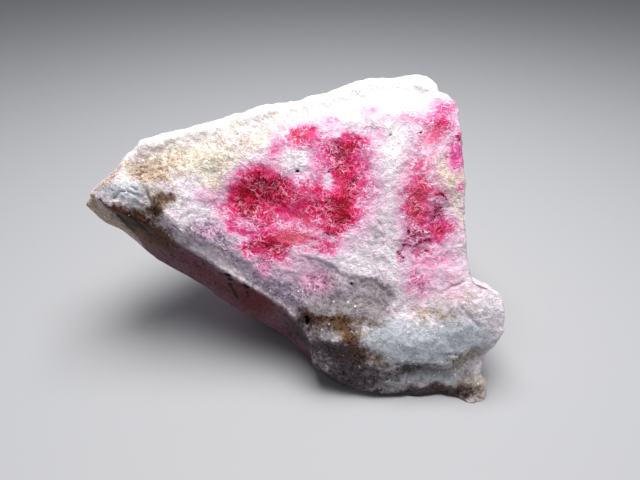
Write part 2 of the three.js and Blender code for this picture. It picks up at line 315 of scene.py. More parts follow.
@dataclass(frozen=True)
class SlantSide:
    """The smooth side along the lower left of the face: where it lies and how softly it ends."""

    rim_start: float = 0.45
    rim_fade: float = 0.9
    right_end: float = -0.6
    right_fade: float = 1.0
    top_end: float = 5.2
    top_fade: float = 0.8
    deep_start: float = 4.6
    deep_fade: float = 1.2

    def shallow(self, uvw: np.ndarray) -> np.ndarray:
        """From 1 near the face to 0 past the side's far edge, deep in the stone."""
        return 1 - smooth((uvw[:, 2] - self.deep_start) / self.deep_fade)

    def share(self, uvw: np.ndarray) -> np.ndarray:
        """Works out how far places lie on the side: the product of an ease at each of its ends.

        Args:
            uvw: places in the frame of the face, shape (n, 3).

        Returns:
            From 0 off the side to 1 on it.
        """
        outside = smooth(self.rim_start - FACE_RIM.depth_inside(uvw[:, :2]) / self.rim_fade)
        left = smooth((self.right_end - uvw[:, 0]) / self.right_fade)
        below = smooth((self.top_end - uvw[:, 1]) / self.top_fade)
        return outside * left * self.shallow(uvw) * below


# ---- relief ----
@dataclass(frozen=True)
class Lump:
    """A rounded rise of the face, or a hollow where its height is negative."""

    at: tuple[float, float]
    size: tuple[float, float]
    height: float

    def rise(self, uv: np.ndarray) -> np.ndarray:
        """Height at many points: a bell curve of the scaled distance from the middle."""
        return self.height * np.exp(-np.sum(((uv - self.at) / self.size) ** 2, axis=1))


@dataclass(frozen=True)
class Ledge:
    """A broken step: the face drops on the right of the line and climbs back over its run."""

    line: tuple[tuple[float, float], ...]
    drop: float
    run: float
    fade: float
    edge: float = 0.22

    def fall(self, uv: np.ndarray) -> np.ndarray:
        """Works out the depth under the step.

        It is sudden at the line, and eased out over the run and towards the line's ends.

        Args:
            uv: places on the face, shape (n, 2).

        Returns:
            The depth at each place.
        """
        distance, right, inside = along_line(np.array(self.line), uv)
        sunk = smooth(distance / self.edge) * (1 - smooth(distance / self.run))
        return np.where(right, self.drop * sunk * smooth(inside / self.fade), 0.0)


@dataclass(frozen=True)
class Crack:
    """A narrow open crack along a line, or a pit where the line is very short."""

    line: tuple[tuple[float, float], ...]
    width: float
    depth: float
    # how much darker the crack or pit is painted
    dark: float = 0.9

    def nearness(self, uv: np.ndarray) -> np.ndarray:
        """From 1 on the line to 0 away from it: a bell curve of the distance over the width."""
        distance = along_line(np.array(self.line), uv)[0]
        return np.exp(-((distance / self.width) ** 2))


@dataclass(frozen=True)
class BackPlane:
    """One fracture plane of the hidden back, by its depth at the middle and its two slopes."""

    depth: float
    slope_u: float
    slope_v: float

    def depth_at(self, uv: np.ndarray) -> np.ndarray:
        """Depth w of the plane: the depth at the middle plus each slope times its way."""
        return self.depth + uv @ np.array([self.slope_u, self.slope_v])


# Each facet takes its seed from three scatters, then its offset and its slopes from these further ones.
OFFSET_SALT = 3
SLOPE_SALT = 5


@dataclass(frozen=True)
class FacetLayer:
    """Tilted facets about scattered seeds, all of one mean width."""

    width: float
    depth: float
    tilt: float
    salt: int
    crease: float = 12.0

    def height(self, points: np.ndarray) -> np.ndarray:
        """Height of the facets at many points.

        Each cell of a lattice holds a seed. A seed's own height is a random offset plus a random
        slope times the way from it, and the seeds about a point are weighted by a bell curve of
        their distance, so that flat facets meet in narrow creases.

        Args:
            points: places in millimetres, shape (n, 3).

        Returns:
            The height at each place, in millimetres.
        """
        place = points / self.width
        total = np.zeros(len(points))
        weights = np.zeros(len(points))
        for step in itertools.product((-1, 0, 1), repeat=3):
            cell = np.floor(place) + step
            seeds = np.stack([scatter(cell, self.salt + axis) for axis in range(3)], axis=1)
            slopes = np.stack([scatter(cell, self.salt + SLOPE_SALT + axis) for axis in range(3)], axis=1)
            away = place - cell - seeds
            weight = np.exp(-self.crease * np.sum(away**2, axis=1))
            offset = self.depth * (2 * scatter(cell, self.salt + OFFSET_SALT) - 1)
            total += weight * (offset + self.tilt * self.width * np.sum(away * (slopes - 0.5), axis=1))
            weights += weight
        return total / weights


# ---- the stone's shape ----
# How near to the ground, in metres, a point counts as lying on it when the stone is cut flat.
CUT_SLACK = 1e-7

# The lower edge of the grey chip and the top edge of the foot. A ledge and a crack follow each.
CHIP_EDGE = ((0.9, -0.9), (1.4, -1.1), (2.2, -1.15), (3.3, -1.4), (4.0, -2.0), (4.8, -2.9))
FOOT_EDGE = (
    (4.8, -7.6), (5.8, -7.5), (6.9, -7.6), (8.1, -7.8), (8.5, -7.75), (9.2, -7.2), (10.0, -6.5),
    (10.4, -6.2),
)


@dataclass
class StoneShape:
    """The stone as one closed surface: broad face, lip, sides and back, broken into facets."""

    face: FaceFrame = field(default_factory=FaceFrame)
    slant: SlantSide = field(default_factory=SlantSide)
    # how finely the surface is divided
    half_grid: int = 84
    lip_rows: int = 16
    wall_rows: int = 44
    # the crown of the face, and how it falls away at its top, bottom and lower left edges
    crown: float = 0.6
    half_height: float = 12.0
    shoulder_drop: float = 0.7
    shoulder_width: float = 2.2
    undercut_start: float = -6.6
    undercut_rate: float = 0.055
    slant_drop: float = 0.65
    slant_width: float = 1.5
    # the lip between the rim and the belt, rounded where it is narrow and flat where it is wide
    least_lip: float = 0.15
    round_lip: float = 1.2
    flat_lip: float = 2.2
    flatness: float = 0.8
    # the outline of the back against the belt's
    back_shrink: float = 0.86
    back_blur: float = 1 / 17
    back_waves: tuple[tuple[int, float, float], ...] = ((3, 0.05, 1.0), (5, 0.03, 2.0))
    back_draw_in: float = 1.7
    # how far the facets and cracks reach into the stone, and how calm the slanting side is
    front_roughness: float = 0.22
    rough_from: float = 3.5
    rough_by: float = 8.5
    slant_calm: float = 0.75
    cracked_depth: float = 1.0
    cracked_fade: float = 1.0
    lumps: tuple[Lump, ...] = (
        Lump((10.4, -4.0), (2.6, 2.4), 0.8),
        Lump((5.2, -5.6), (3.0, 1.5), 0.5),
        Lump((0.3, -5.9), (1.7, 0.9), 0.5),
        Lump((10.9, -9.6), (0.9, 1.0), 0.5),
        Lump((4.6, 5.5), (1.6, 4.0), 0.3),
        Lump((-5.2, 4.0), (3.0, 1.6), -0.4),
        Lump((1.2, 6.4), (1.4, 2.4), -0.35),
        Lump((7.0, 3.4), (1.4, 1.8), -0.3),
        Lump((-9.5, 1.6), (2.6, 1.2), 0.3),
    )
    ledges: tuple[Ledge, ...] = (
        Ledge(
            ((-2.5, 0.5), (-1.0, 0.3), (0.0, 0.0), (0.6, -0.5), *CHIP_EDGE, (3.6, -4.6)),
            0.2, 3.5, 1.2, 0.12,
        ),
        Ledge((*FOOT_EDGE, (11.8, -5.9)), 0.75, 3.0, 1.2, 0.16),
        Ledge(((-13.0, 5.7), (-12.1, 3.8), (-10.9, 2.2), (-9.4, 1.2)), 0.4, 2.2, 1.0, 0.16),
    )
    back_planes: tuple[BackPlane, ...] = (
        BackPlane(12.2, 0.10, 0.06),
        BackPlane(13.2, 0.46, 0.10),
        BackPlane(15.6, -0.05, -0.62),
        BackPlane(15.0, -0.48, 0.05),
    )
    broad_facets: tuple[FacetLayer, ...] = (FacetLayer(6.5, 0.7, 0.28, 1), FacetLayer(2.6, 0.16, 0.24, 2))
    grain_facets: tuple[FacetLayer, ...] = (
        FacetLayer(1.3, 0.05, 0.14, 21),
        FacetLayer(0.6, 0.03, 0.16, 34),
        FacetLayer(0.3, 0.02, 0.14, 47),
    )
    cracks: tuple[Crack, ...] = (
        Crack(((9.2, -3.2), (9.7, -3.8), (10.1, -4.2), (10.5, -4.6)), 0.09, 0.12, 0.25),
        Crack((*FOOT_EDGE, (11.2, -6.1)), 0.09, 0.25, 0.4),
        Crack(((8.0, -6.8), (8.9, -6.75), (9.6, -6.9)), 0.07, 0.12, 0.35),
        Crack(CHIP_EDGE, 0.06, 0.1, 0.35),
        Crack(((8.0, -2.3), (8.7, -1.8), (9.3, -1.6), (9.8, -1.3)), 0.08, 0.15, 0.3),
        Crack(((-12.0, 3.7), (-11.7, 3.2), (-11.2, 2.6), (-10.6, 2.1)), 0.07, 0.12, 0.4),
        Crack(((-15.3, 4.4), (-14.9, 4.9), (-14.3, 4.95), (-13.7, 4.7), (-13.0, 4.2)), 0.07, 0.12, 0.45),
        Crack(((-14.0, 5.3), (-13.6, 5.0)), 0.08, 0.12, 0.5),
        Crack(((-15.6, 5.1), (-15.3, 4.95)), 0.06, 0.1, 0.6),
        Crack(((-13.8, 6.15), (-13.4, 6.0)), 0.06, 0.1, 0.6),
        Crack(((-1.72, -4.15), (-1.62, -4.4), (-1.7, -4.6)), 0.11, 0.35, 1.0),
        Crack(((1.5, -1.65), (1.56, -1.7)), 0.075, 0.25),
        Crack(((-2.4, 6.33), (-2.25, 6.38)), 0.07, 0.2),
        Crack(((-0.15, 6.25), (-0.05, 6.35)), 0.065, 0.2),
        Crack(((6.34, 9.0), (6.4, 9.1)), 0.065, 0.2),
        Crack(((4.22, 8.9), (4.28, 8.93)), 0.07, 0.2),
    )

    @property
    def stations(self) -> int:
        """Places round the stone: one for each step along the eight half sides of the square grid."""
        return 8 * self.half_grid

    def face_depth(self, uv: np.ndarray) -> np.ndarray:
        """Depth w of the broad face.

        The height is a crown that falls off with the square of v, less the roll along the top edge,
        less a curl under the bottom that grows with the square of the way past its start, plus the
        bell-shaped lumps, less the drops under the ledges.

        Args:
            uv: places on the face, shape (n, 2).

        Returns:
            The depth at each place.
        """
        height = self.crown * (1 - (uv[:, 1] / self.half_height) ** 2)
        height -= self.shoulder_drop * smooth(1 - along_line(TOP_EDGE, uv)[0] / self.shoulder_width)
        height -= self.slant_drop * smooth(1 - along_line(SLANT_EDGE, uv)[0] / self.slant_width)
        height -= self.undercut_rate * np.maximum(0, self.undercut_start - uv[:, 1]) ** 2
        height += sum(lump.rise(uv) for lump in self.lumps)
        height -= sum(ledge.fall(uv) for ledge in self.ledges)
        return -height

    def near_face(self, uvw: np.ndarray) -> np.ndarray:
        """From 1 on the broad face to 0 deeper than its cracks reach."""
        return 1 - smooth((uvw[:, 2] - self.cracked_depth) / self.cracked_fade)

    def back_depth(self, uv: np.ndarray) -> np.ndarray:
        """Depth w of the back: the least of the fracture planes."""
        return np.min([plane.depth_at(uv) for plane in self.back_planes], axis=0)

    def outlines(self) -> tuple[np.ndarray, np.ndarray, np.ndarray]:
        """Works out the face's rim, the widest outline and the back's outline, station by station.

        The rim lies on the same ray as the belt's station, a least lip inside it. The back is the
        belt's radius averaged over neighbours, shrunk and waved by sines of the turn.

        Returns:
            Rim (u, v), belt (u, v, w) and back (u, v).
        """
        belt = BELT.walked(self.stations)
        reach = np.linalg.norm(belt[:, :2], axis=1)
        rays = belt[:, :2] / reach[:, None]
        rim = rays * np.minimum(FACE_RIM.radius(rays), reach - self.least_lip)[:, None]
        turn = np.arctan2(belt[:, 1], belt[:, 0])
        size = self.back_shrink + sum(a * np.sin(n * turn + t) for n, a, t in self.back_waves)
        blur = int(self.back_blur * self.stations)
        near = np.arange(self.stations)[:, None] + np.arange(-blur, blur + 1)
        back = rays * (size * reach[near % self.stations].mean(axis=1))[:, None]
        return rim, belt, back

    def filled(self, outline: np.ndarray) -> np.ndarray:
        """Fills an outline with a square grid wrapped into rings.

        Grid point (a, b) lies on ring max(|a|, |b|). Its steps round that ring, from the lower right
        corner, pick the outline's station, and the ring's share of the grid scales it.

        Args:
            outline: (u, v) of each station.

        Returns:
            Places (u, v), shape (2n + 1, 2n + 1, 2).
        """
        n = self.half_grid
        a, b = np.meshgrid(np.arange(-n, n + 1), np.arange(-n, n + 1), indexing="ij")
        ring = np.maximum(np.abs(a), np.abs(b))
        exact = self.steps_round(ring, a, b) * n / np.maximum(ring, 1)
        index = np.floor(exact).astype(int)
        share = (exact - index)[..., None]
        edge = mix(outline[index % self.stations], outline[(index + 1) % self.stations], share)
        return edge * (ring / n)[..., None]

    @staticmethod
    def steps_round(ring: np.ndarray, a: np.ndarray, b: np.ndarray) -> np.ndarray:
        """Counts the steps round a square ring: up the right, along the top, down the left, back.

        Args:
            ring: the ring that each grid point lies on.
            a: the point's place from side to side.
            b: the point's place from top to bottom.

        Returns:
            Steps from the lower right corner.
        """
        places = [a == ring, b == ring, a == -ring]
        return np.select(places, [b + ring, 3 * ring - a, 5 * ring - b], 7 * ring + a)

    def side_rows(self, rim: np.ndarray, belt: np.ndarray, back: np.ndarray) -> np.ndarray:
        """Works out the rows of points between the rim of the face and the back.

        Over a narrow lip the way out follows a sine and the way down one less a cosine, a quarter
        round. Over a wide one both go nearly straight. The wall then draws in by a power of its way.

        Args:
            rim: (u, v) of the face's rim.
            belt: (u, v, w) of the widest outline.
            back: (u, v) of the back's outline.

        Returns:
            Places (u, v, w), shape (rows, stations, 3), without the rim's row and the back's row.
        """
        quarter = np.arange(1, self.lip_rows + 1)[:, None] / self.lip_rows
        lip = np.linalg.norm(belt[:, :2] - rim, axis=1)
        flat = self.flatness * smooth((lip - self.round_lip) / (self.flat_lip - self.round_lip))
        out = mix(np.sin(quarter * np.pi / 2), quarter, flat)
        down = mix(1 - np.cos(quarter * np.pi / 2), quarter, flat)
        lip_uv = mix(rim, belt[:, :2], out[..., None])
        lip_w = mix(self.face_depth(rim), belt[:, 2], down)
        t = np.arange(1, self.wall_rows)[:, None] / self.wall_rows
        wall_uv = mix(belt[:, :2], back, (t**self.back_draw_in)[..., None])
        wall_w = mix(belt[:, 2], self.back_depth(back), t)
        return np.concatenate([np.dstack([lip_uv, lip_w]), np.dstack([wall_uv, wall_w])])

    def closed_surface(self) -> tuple[np.ndarray, np.ndarray]:
        """Joins face, sides and back into one closed surface that shares its points.

        Returns:
            Points in the scene's millimetres and four-cornered faces that point outwards.
        """
        rim, belt, back = self.outlines()
        face_uv, back_uv = self.filled(rim), self.filled(back)
        flat = [face_uv.reshape(-1, 2), back_uv.reshape(-1, 2)]
        face = np.column_stack([flat[0], self.face_depth(flat[0])])
        rear = np.column_stack([flat[1], self.back_depth(flat[1])])
        sides = self.side_rows(rim, belt, back)
        side = 2 * self.half_grid + 1
        face_at = np.arange(side * side).reshape(side, side)
        side_at = np.arange(sides.shape[0] * self.stations).reshape(-1, self.stations) + side * side
        rear_at = face_at + side_at[-1, -1] + 1
        rows = np.vstack([self.border(face_at), side_at, self.border(rear_at)])
        rows = np.column_stack([rows, rows[:, 0]])
        quads = [self.quads(face_at), self.quads(rows), self.quads(rear_at.T)]
        places = np.vstack([face, sides.reshape(-1, 3), rear])
        return self.face.place(places), np.vstack(quads)

    def border(self, grid: np.ndarray) -> np.ndarray:
        """Puts the grid's outermost points in the order of the stations.

        Args:
            grid: point numbers, shape (2n + 1, 2n + 1).

        Returns:
            One point number for each station.
        """
        n = self.half_grid
        a, b = np.meshgrid(np.arange(-n, n + 1), np.arange(-n, n + 1), indexing="ij")
        outer = np.maximum(np.abs(a), np.abs(b)) == n
        steps = self.steps_round(np.full(a.shape, n), a, b)[outer]
        return grid[outer][np.argsort(steps)]

    @staticmethod
    def quads(grid: np.ndarray) -> np.ndarray:
        """One four-cornered face for each cell of a grid of point numbers."""
        corners = [grid[:-1, :-1], grid[1:, :-1], grid[1:, 1:], grid[:-1, 1:]]
        return np.stack([corner.ravel() for corner in corners], axis=1)

    @staticmethod
    def normals(points: np.ndarray, quads: np.ndarray) -> np.ndarray:
        """Works out the outward direction at each point.

        It is the sum of the crossed diagonals of the faces round the point, scaled to a length of 1.

        Args:
            points: places, shape (n, 3).
            quads: four-cornered faces that point outwards.

        Returns:
            One direction for each point.
        """
        a, b, c, d = (points[corner] for corner in quads.T)
        across = np.cross(c - a, d - b)
        total = np.zeros_like(points)
        for axis in range(3):
            weights = np.repeat(across[:, axis], 4)
            total[:, axis] = np.bincount(quads.ravel(), weights=weights, minlength=len(points))
        return total / np.linalg.norm(total, axis=1, keepdims=True)

    def broken(self) -> tuple[np.ndarray, np.ndarray]:
        """Breaks the closed surface into broad facets, then into sugary grains, cracks and pits.

        Points move along their normals by the broad facets' height, which grows from the face to the
        back, then along the new normals by the grains' height less the cracks' depth.

        Returns:
            Points in millimetres and faces.
        """
        points, quads = self.closed_surface()
        depth = self.face.measure(points)[:, 2]
        deepening = smooth((depth - self.rough_from) / (self.rough_by - self.rough_from))
        counted = self.face.lattice(points)
        height = sum(layer.height(counted) for layer in self.broad_facets)
        raised = mix(self.front_roughness, 1, deepening) * height
        points = points + self.normals(points, quads) * raised[:, None]
        uvw = self.face.measure(points)
        grain = sum(layer.height(self.face.lattice(points)) for layer in self.grain_facets)
        sunk = sum(crack.depth * crack.nearness(uvw[:, :2]) for crack in self.cracks) * self.near_face(uvw)
        calm = 1 - self.slant_calm * self.slant.share(uvw)
        points = points + self.normals(points, quads) * (grain * calm - sunk)[:, None]
        return points, quads

    def mesh(self, name: str) -> bpy.types.Mesh:
        """Makes the mesh, cut off flat at the ground.

        Args:
            name: the mesh's name.

        Returns:
            The mesh in metres, closed, with the cut filled.
        """
        points, quads = self.broken()
        made = bpy.data.meshes.new(name)
        made.vertices.add(len(points))
        made.vertices.foreach_set("co", (points * MM).ravel())
        made.loops.add(quads.size)
        made.loops.foreach_set("vertex_index", quads.ravel())
        made.polygons.add(len(quads))
        made.polygons.foreach_set("loop_start", np.arange(len(quads)) * 4)
        made.update(calc_edges=True)
        self.cut_flat(made)
        return made

    @staticmethod
    def cut_flat(made: bpy.types.Mesh) -> None:
        """Cuts away what lies below the ground, fills the cut and divides every face into triangles.

        Args:
            made: the closed mesh, changed in place.
        """
        work = bmesh.new()
        work.from_mesh(made)
        everything = work.verts[:] + work.edges[:] + work.faces[:]
        cut = bmesh.ops.bisect_plane(
            work, geom=everything, dist=CUT_SLACK, plane_co=(0, 0, 0), plane_no=(0, 0, 1), clear_inner=True
        )
        rim = [part for part in cut["geom_cut"] if isinstance(part, bmesh.types.BMEdge)]
        bmesh.ops.edgeloop_fill(work, edges=rim)
        bmesh.ops.triangulate(work, faces=work.faces[:])
        bmesh.ops.recalc_face_normals(work, faces=work.faces[:])
        work.to_mesh(made)
        work.free()


# ---- the stains, with the painted shade and painted highlights among them ----
# A patch's cover dies out by this power of the distance from its middle, times this rate.
PATCH_POWER = 2.4
PATCH_FALL = 0.8


@dataclass(frozen=True)
class Patch:
    """One stained patch of the face: an ellipse with a ragged edge."""

    stain: Stain
    at: tuple[float, float]
    size: tuple[float, float]
    strength: float
    turn_deg: float = 0.0

    def cover(self, uv: np.ndarray) -> np.ndarray:
        """Works out how strongly the patch stains many places.

        The place is turned into the ellipse's own axes and scaled by its half widths. The cover is
        full in the middle and dies out as a bell curve of a power of the scaled distance.

        Args:
            uv: places on the face, shape (n, 2).

        Returns:
            The strength at each place.
        """
        turn = math.radians(self.turn_deg)
        across, along = math.cos(turn), math.sin(turn)
        turned = (uv - self.at) @ np.array([[across, -along], [along, across]])
        distance = np.linalg.norm(turned / self.size, axis=1)
        return self.strength * np.exp(-(distance**PATCH_POWER) * PATCH_FALL)


def patches_of(stain: Stain, rows: tuple[tuple[float, ...], ...]) -> tuple[Patch, ...]:
    """Patches of one stain from rows of u, v, half width, half height, strength and, if any, turn."""
    return tuple(Patch(stain, row[0:2], row[2:4], *row[4:]) for row in rows)


PATCHES = (
    *patches_of(Stain.RED, (
        # left field: its cores, then the rose about them
        (-6.2, 4.7, 0.9, 1.15, 0.88), (-4.7, 5.2, 1.15, 1.0, 0.95), (-5.3, 6.3, 0.9, 0.5, 0.75),
        (-6.0, 3.6, 0.8, 0.55, 0.75), (-3.6, 5.7, 0.6, 0.4, 0.6), (-4.3, 2.95, 1.0, 0.3, 0.7, -5),
        (-7.05, 2.75, 0.4, 0.28, 0.7), (-4.9, 3.7, 1.3, 0.6, 0.6), (-3.4, 4.6, 0.8, 0.8, 0.5),
        (-4.8, 4.7, 2.7, 2.1, 0.35),
        # middle field
        (-2.0, 4.6, 1.4, 1.2, 0.6), (-2.2, 3.4, 1.2, 0.7, 0.5), (0.6, 4.1, 1.1, 0.75, 0.94),
        (1.35, 5.3, 0.6, 1.0, 0.85), (-0.8, 4.9, 0.35, 0.3, 0.6), (-0.65, 4.2, 0.5, 0.3, 0.6),
        (1.0, 2.8, 1.0, 0.5, 0.9, 10), (0.2, 3.4, 1.5, 0.5, 0.65), (-0.3, 2.6, 1.0, 0.45, 0.6),
        (0.35, 2.1, 0.7, 0.15, 0.6), (0.8, 5.5, 1.8, 3.2, 0.3),
        # top of the middle field
        (0.55, 6.4, 0.35, 0.7, 0.65), (0.9, 7.6, 0.85, 0.95, 0.95), (1.6, 8.3, 0.7, 0.6, 0.65),
        (0.2, 7.8, 0.5, 0.5, 0.4), (0.8, 6.8, 0.8, 0.7, 0.5), (0.4, 4.4, 1.2, 0.8, 0.3),
        # bright spot and the pink about it
        (-2.25, 8.9, 0.8, 0.65, 0.7), (-1.3, 9.15, 0.5, 0.3, 0.5), (-2.3, 8.1, 0.6, 0.3, 0.3),
        (-2.2, 8.8, 1.6, 1.2, 0.2), (-0.8, 8.5, 0.6, 0.5, 0.3), (0.0, 10.0, 0.5, 0.5, 0.28),
        (-0.7, 7.4, 0.9, 1.3, 0.26), (-3.7, 7.6, 0.6, 1.0, 0.4),
        # foot of the left field and the band below the middle
        (-0.3, 1.1, 1.3, 0.6, 0.5), (-2.6, 1.8, 0.9, 0.5, 0.48), (-4.2, 1.0, 1.3, 0.9, 0.9),
        (-5.8, 0.95, 0.8, 0.45, 0.6), (-5.2, 2.1, 1.7, 0.5, 0.5), (-6.9, 2.1, 0.6, 0.35, 0.5),
        (-4.7, -0.5, 0.4, 0.7, 0.38), (-4.6, 1.0, 2.2, 1.3, 0.22), (-1.2, 1.8, 2.2, 0.9, 0.25),
        # right field
        (6.1, 3.7, 0.85, 1.05, 0.8), (6.6, 5.1, 0.9, 0.55, 0.7), (6.3, 6.2, 0.7, 0.8, 0.32),
        (7.8, 2.3, 1.0, 0.7, 0.8), (7.5, 3.7, 0.3, 0.4, 0.6), (7.9, 4.6, 0.35, 0.3, 0.4),
        (6.2, 1.7, 0.9, 0.4, 0.4), (6.2, 0.8, 1.1, 0.4, 0.35), (4.9, 0.4, 0.25, 0.6, 0.38),
        (6.9, 3.5, 1.8, 2.3, 0.3), (6.2, -1.5, 1.1, 1.5, 0.32), (6.3, -1.4, 0.5, 0.5, 0.14),
        (8.3, -1.4, 1.3, 1.4, 0.12), (7.2, 0.2, 1.4, 0.6, 0.22),
        # upper right corner
        (7.8, 9.9, 0.7, 0.5, 0.42), (8.2, 10.8, 0.9, 0.5, 0.34), (7.3, 8.8, 0.8, 0.6, 0.34),
        (8.9, 7.3, 0.6, 0.85, 0.62), (9.0, 8.6, 0.25, 0.3, 0.6), (8.0, 9.4, 1.5, 1.8, 0.28),
        (9.2, 5.2, 0.25, 0.35, 0.45), (6.2, 10.0, 1.6, 0.35, 0.2), (6.4, 7.4, 1.2, 1.6, 0.2),
        (8.6, 0.6, 1.0, 2.6, 0.12), (5.4, 4.6, 0.8, 2.6, 0.2),
        # faint pink
        (2.9, 10.7, 0.7, 0.4, 0.2), (3.7, 8.8, 0.6, 0.5, 0.16), (2.5, 7.3, 0.8, 0.8, 0.18),
        (2.3, 6.3, 0.7, 1.0, 0.18), (2.6, 5.0, 0.8, 1.2, 0.18), (3.0, 6.0, 2.5, 3.5, 0.08),
        (-8.7, 4.5, 1.0, 0.6, 0.22), (-7.4, 3.6, 0.9, 1.0, 0.3), (-0.8, -1.6, 1.0, 0.9, 0.22),
        (-2.3, -0.6, 1.8, 1.4, 0.16), (2.6, 5.6, 1.0, 3.2, 0.16), (4.6, 10.4, 2.6, 0.9, 0.12),
        (10.0, -2.4, 1.8, 1.4, 0.07),
        # washed out again
        (-2.5, 7.1, 0.8, 0.6, -0.95), (0.0, 5.8, 0.3, 0.6, -0.7), (-2.7, 0.8, 0.4, 0.4, -0.6),
    )),
    *patches_of(Stain.MAGENTA, (
        (8.2, 10.8, 0.9, 0.6, 0.6), (9.0, 7.6, 0.7, 0.9, 1.0), (-6.2, 2.3, 1.8, 0.6, 0.5),
        (7.6, 3.4, 1.0, 1.0, 0.5), (-0.7, 7.4, 1.0, 1.2, 0.4), (2.6, 7.3, 0.9, 0.8, 0.2),
        (-4.8, -0.4, 1.0, 0.8, 0.3), (6.2, 1.6, 1.2, 0.5, 0.4),
    )),
    *patches_of(Stain.SALMON, (
        (-2.6, 1.8, 1.0, 0.5, 0.9), (-2.3, 8.6, 0.8, 0.7, 0.35), (8.2, 6.0, 0.9, 0.5, 0.4),
        (7.2, 9.0, 0.9, 0.6, 0.4), (-1.8, 3.0, 1.0, 0.4, 0.3), (7.0, 7.4, 1.2, 1.4, 0.4),
        (8.6, 5.2, 1.0, 1.0, 0.4), (6.2, 4.3, 0.9, 1.3, 0.4),
    )),
    *patches_of(Stain.CREAM, (
        (-10.5, 7.3, 4.2, 1.5, 0.8, 12), (-7.6, 6.4, 1.8, 1.4, 0.6), (-8.2, 5.4, 0.8, 0.6, 0.6),
        (-5.2, 8.6, 1.8, 1.0, 0.5), (-3.0, 9.8, 2.0, 0.8, 0.3), (-2.5, 7.1, 0.8, 0.6, 0.3),
        (8.3, 6.2, 1.4, 1.3, 0.9), (8.9, 4.0, 0.8, 1.6, 0.4), (7.9, 0.0, 1.4, 0.8, 0.35),
        (7.4, -2.6, 1.8, 0.8, 0.3), (-13.6, 3.6, 0.8, 0.3, 0.7, -15), (3.2, -5.2, 1.6, 0.5, 0.2),
        (11.0, -9.6, 0.9, 1.2, 0.7), (9.8, -7.2, 1.4, 0.7, 0.6, 35), (9.6, 3.0, 0.5, 2.0, 0.4),
        (8.6, 5.0, 0.8, 1.2, 0.4), (-3.9, 10.1, 0.8, 0.4, 0.4), (-2.3, 10.9, 1.2, 0.3, 0.35),
        (3.6, 12.4, 0.9, 0.25, 0.35), (-6.6, 9.6, 1.2, 0.4, 0.35),
    )),
    # painted highlight: the top edge and a few spots painted plain near-white, without the crust's darker
    # hollows, for the strong light on them
    *patches_of(Stain.PAINTED_GLARE, (
        (-12.6, 8.6, 2.0, 0.45, 0.8, 14), (-8.5, 9.6, 3.0, 0.6, 0.9, 14),
        (-3.0, 10.9, 3.2, 0.7, 0.9, 14), (2.0, 12.0, 3.0, 1.0, 1.0, 10), (5.4, 12.2, 2.4, 1.1, 1.0),
        (3.0, 10.4, 4.0, 0.8, 0.5), (4.6, 8.2, 1.0, 2.0, 0.6), (4.0, 6.0, 1.2, 2.0, 0.5),
        (-13.4, 3.6, 1.0, 0.3, 0.6, -15),
    )),
    # pale blue-grey of the clear rock; round the swell and low on the face it is kept dim as painted shade
    # of the lower face
    *patches_of(Stain.PALE, (
        (5.4, -5.5, 3.2, 0.9, 0.9), (3.8, -5.0, 1.4, 0.6, 0.5, 30), (9.2, -5.4, 1.8, 1.0, 0.9),
        (6.0, -7.0, 8.0, 3.0, 0.6), (6.8, -6.6, 2.6, 0.7, 0.7), (10.9, -3.6, 1.2, 1.8, 0.4),
        (7.0, -8.9, 3.0, 0.4, 0.5), (-14.4, 5.1, 1.9, 0.7, 0.8), (-13.9, 4.2, 0.9, 0.4, 0.7, -20),
        (8.4, -3.4, 1.6, 1.0, 0.5),
    )),
    *patches_of(Stain.PLUM, (
        (7.8, 3.8, 0.6, 0.7, 0.45), (7.9, 4.6, 0.5, 0.3, 0.4), (6.2, 1.8, 1.0, 0.4, 0.7, 8),
        (5.3, 2.2, 0.4, 0.5, 0.5), (-6.2, 2.5, 1.3, 0.3, 0.5, -20), (-5.7, 3.1, 0.8, 0.2, 0.6, -28),
        (-8.6, 2.0, 0.9, 0.7, 0.5), (4.9, 0.3, 0.3, 0.7, 0.5), (-0.3, 6.4, 0.4, 0.5, 0.4),
        (6.6, 0.9, 1.2, 0.4, 0.35), (-0.9, -1.6, 1.2, 0.8, 0.8), (-4.8, -0.5, 0.7, 0.9, 0.6),
        (-0.2, -0.9, 1.2, 0.5, 0.4), (6.6, -1.6, 1.0, 1.0, 0.3),
    )),
    *patches_of(Stain.TAN, (
        (-15.5, 5.9, 1.4, 0.3, 0.8, 42), (-13.0, 6.4, 1.2, 0.55, 1.0), (-13.2, 6.0, 1.2, 0.2, 0.5),
        (-8.3, 8.5, 0.4, 0.25, 0.5), (-6.2, 8.4, 0.4, 0.25, 0.55), (-7.1, 7.95, 0.35, 0.2, 0.5),
        (-11.3, 7.0, 0.5, 0.4, 0.5), (-10.5, 7.7, 0.6, 0.4, 0.35), (-8.6, 7.4, 1.2, 0.6, 0.2),
        (-12.2, 6.9, 2.0, 0.8, 0.3), (8.2, 6.4, 1.2, 0.8, 0.3), (6.7, -3.7, 0.8, 0.45, 0.5),
        (7.8, -3.6, 1.8, 1.0, 0.35), (8.1, -4.2, 0.5, 0.35, 0.45), (8.9, -2.6, 0.9, 0.6, 0.25),
        (11.0, -9.8, 0.8, 1.0, 0.35), (10.4, -2.8, 1.4, 1.2, 0.2), (7.8, -0.8, 1.8, 1.6, 0.3),
        (-11.6, 6.6, 1.6, 0.8, 0.35), (6.0, -7.6, 1.6, 0.3, 0.35), (1.8, -5.0, 1.6, 0.8, 0.4),
        (-11.8, 4.7, 1.0, 0.7, 0.8), (-12.4, 3.8, 0.8, 0.7, 0.6),
    )),
    *patches_of(Stain.OCHRE, (
        (-11.7, 4.65, 0.7, 0.5, 0.9), (-12.3, 4.2, 0.35, 0.45, 0.6), (-12.4, 3.4, 0.5, 0.6, 1.0),
        (-0.4, -4.25, 1.7, 0.45, 1.0), (1.0, -4.7, 1.2, 0.6, 0.9), (1.4, -5.7, 0.85, 0.8, 0.95),
        (1.6, -7.0, 0.9, 0.9, 0.75), (-1.9, -3.6, 0.5, 0.4, 0.5), (-1.4, -4.6, 0.7, 0.5, 0.9),
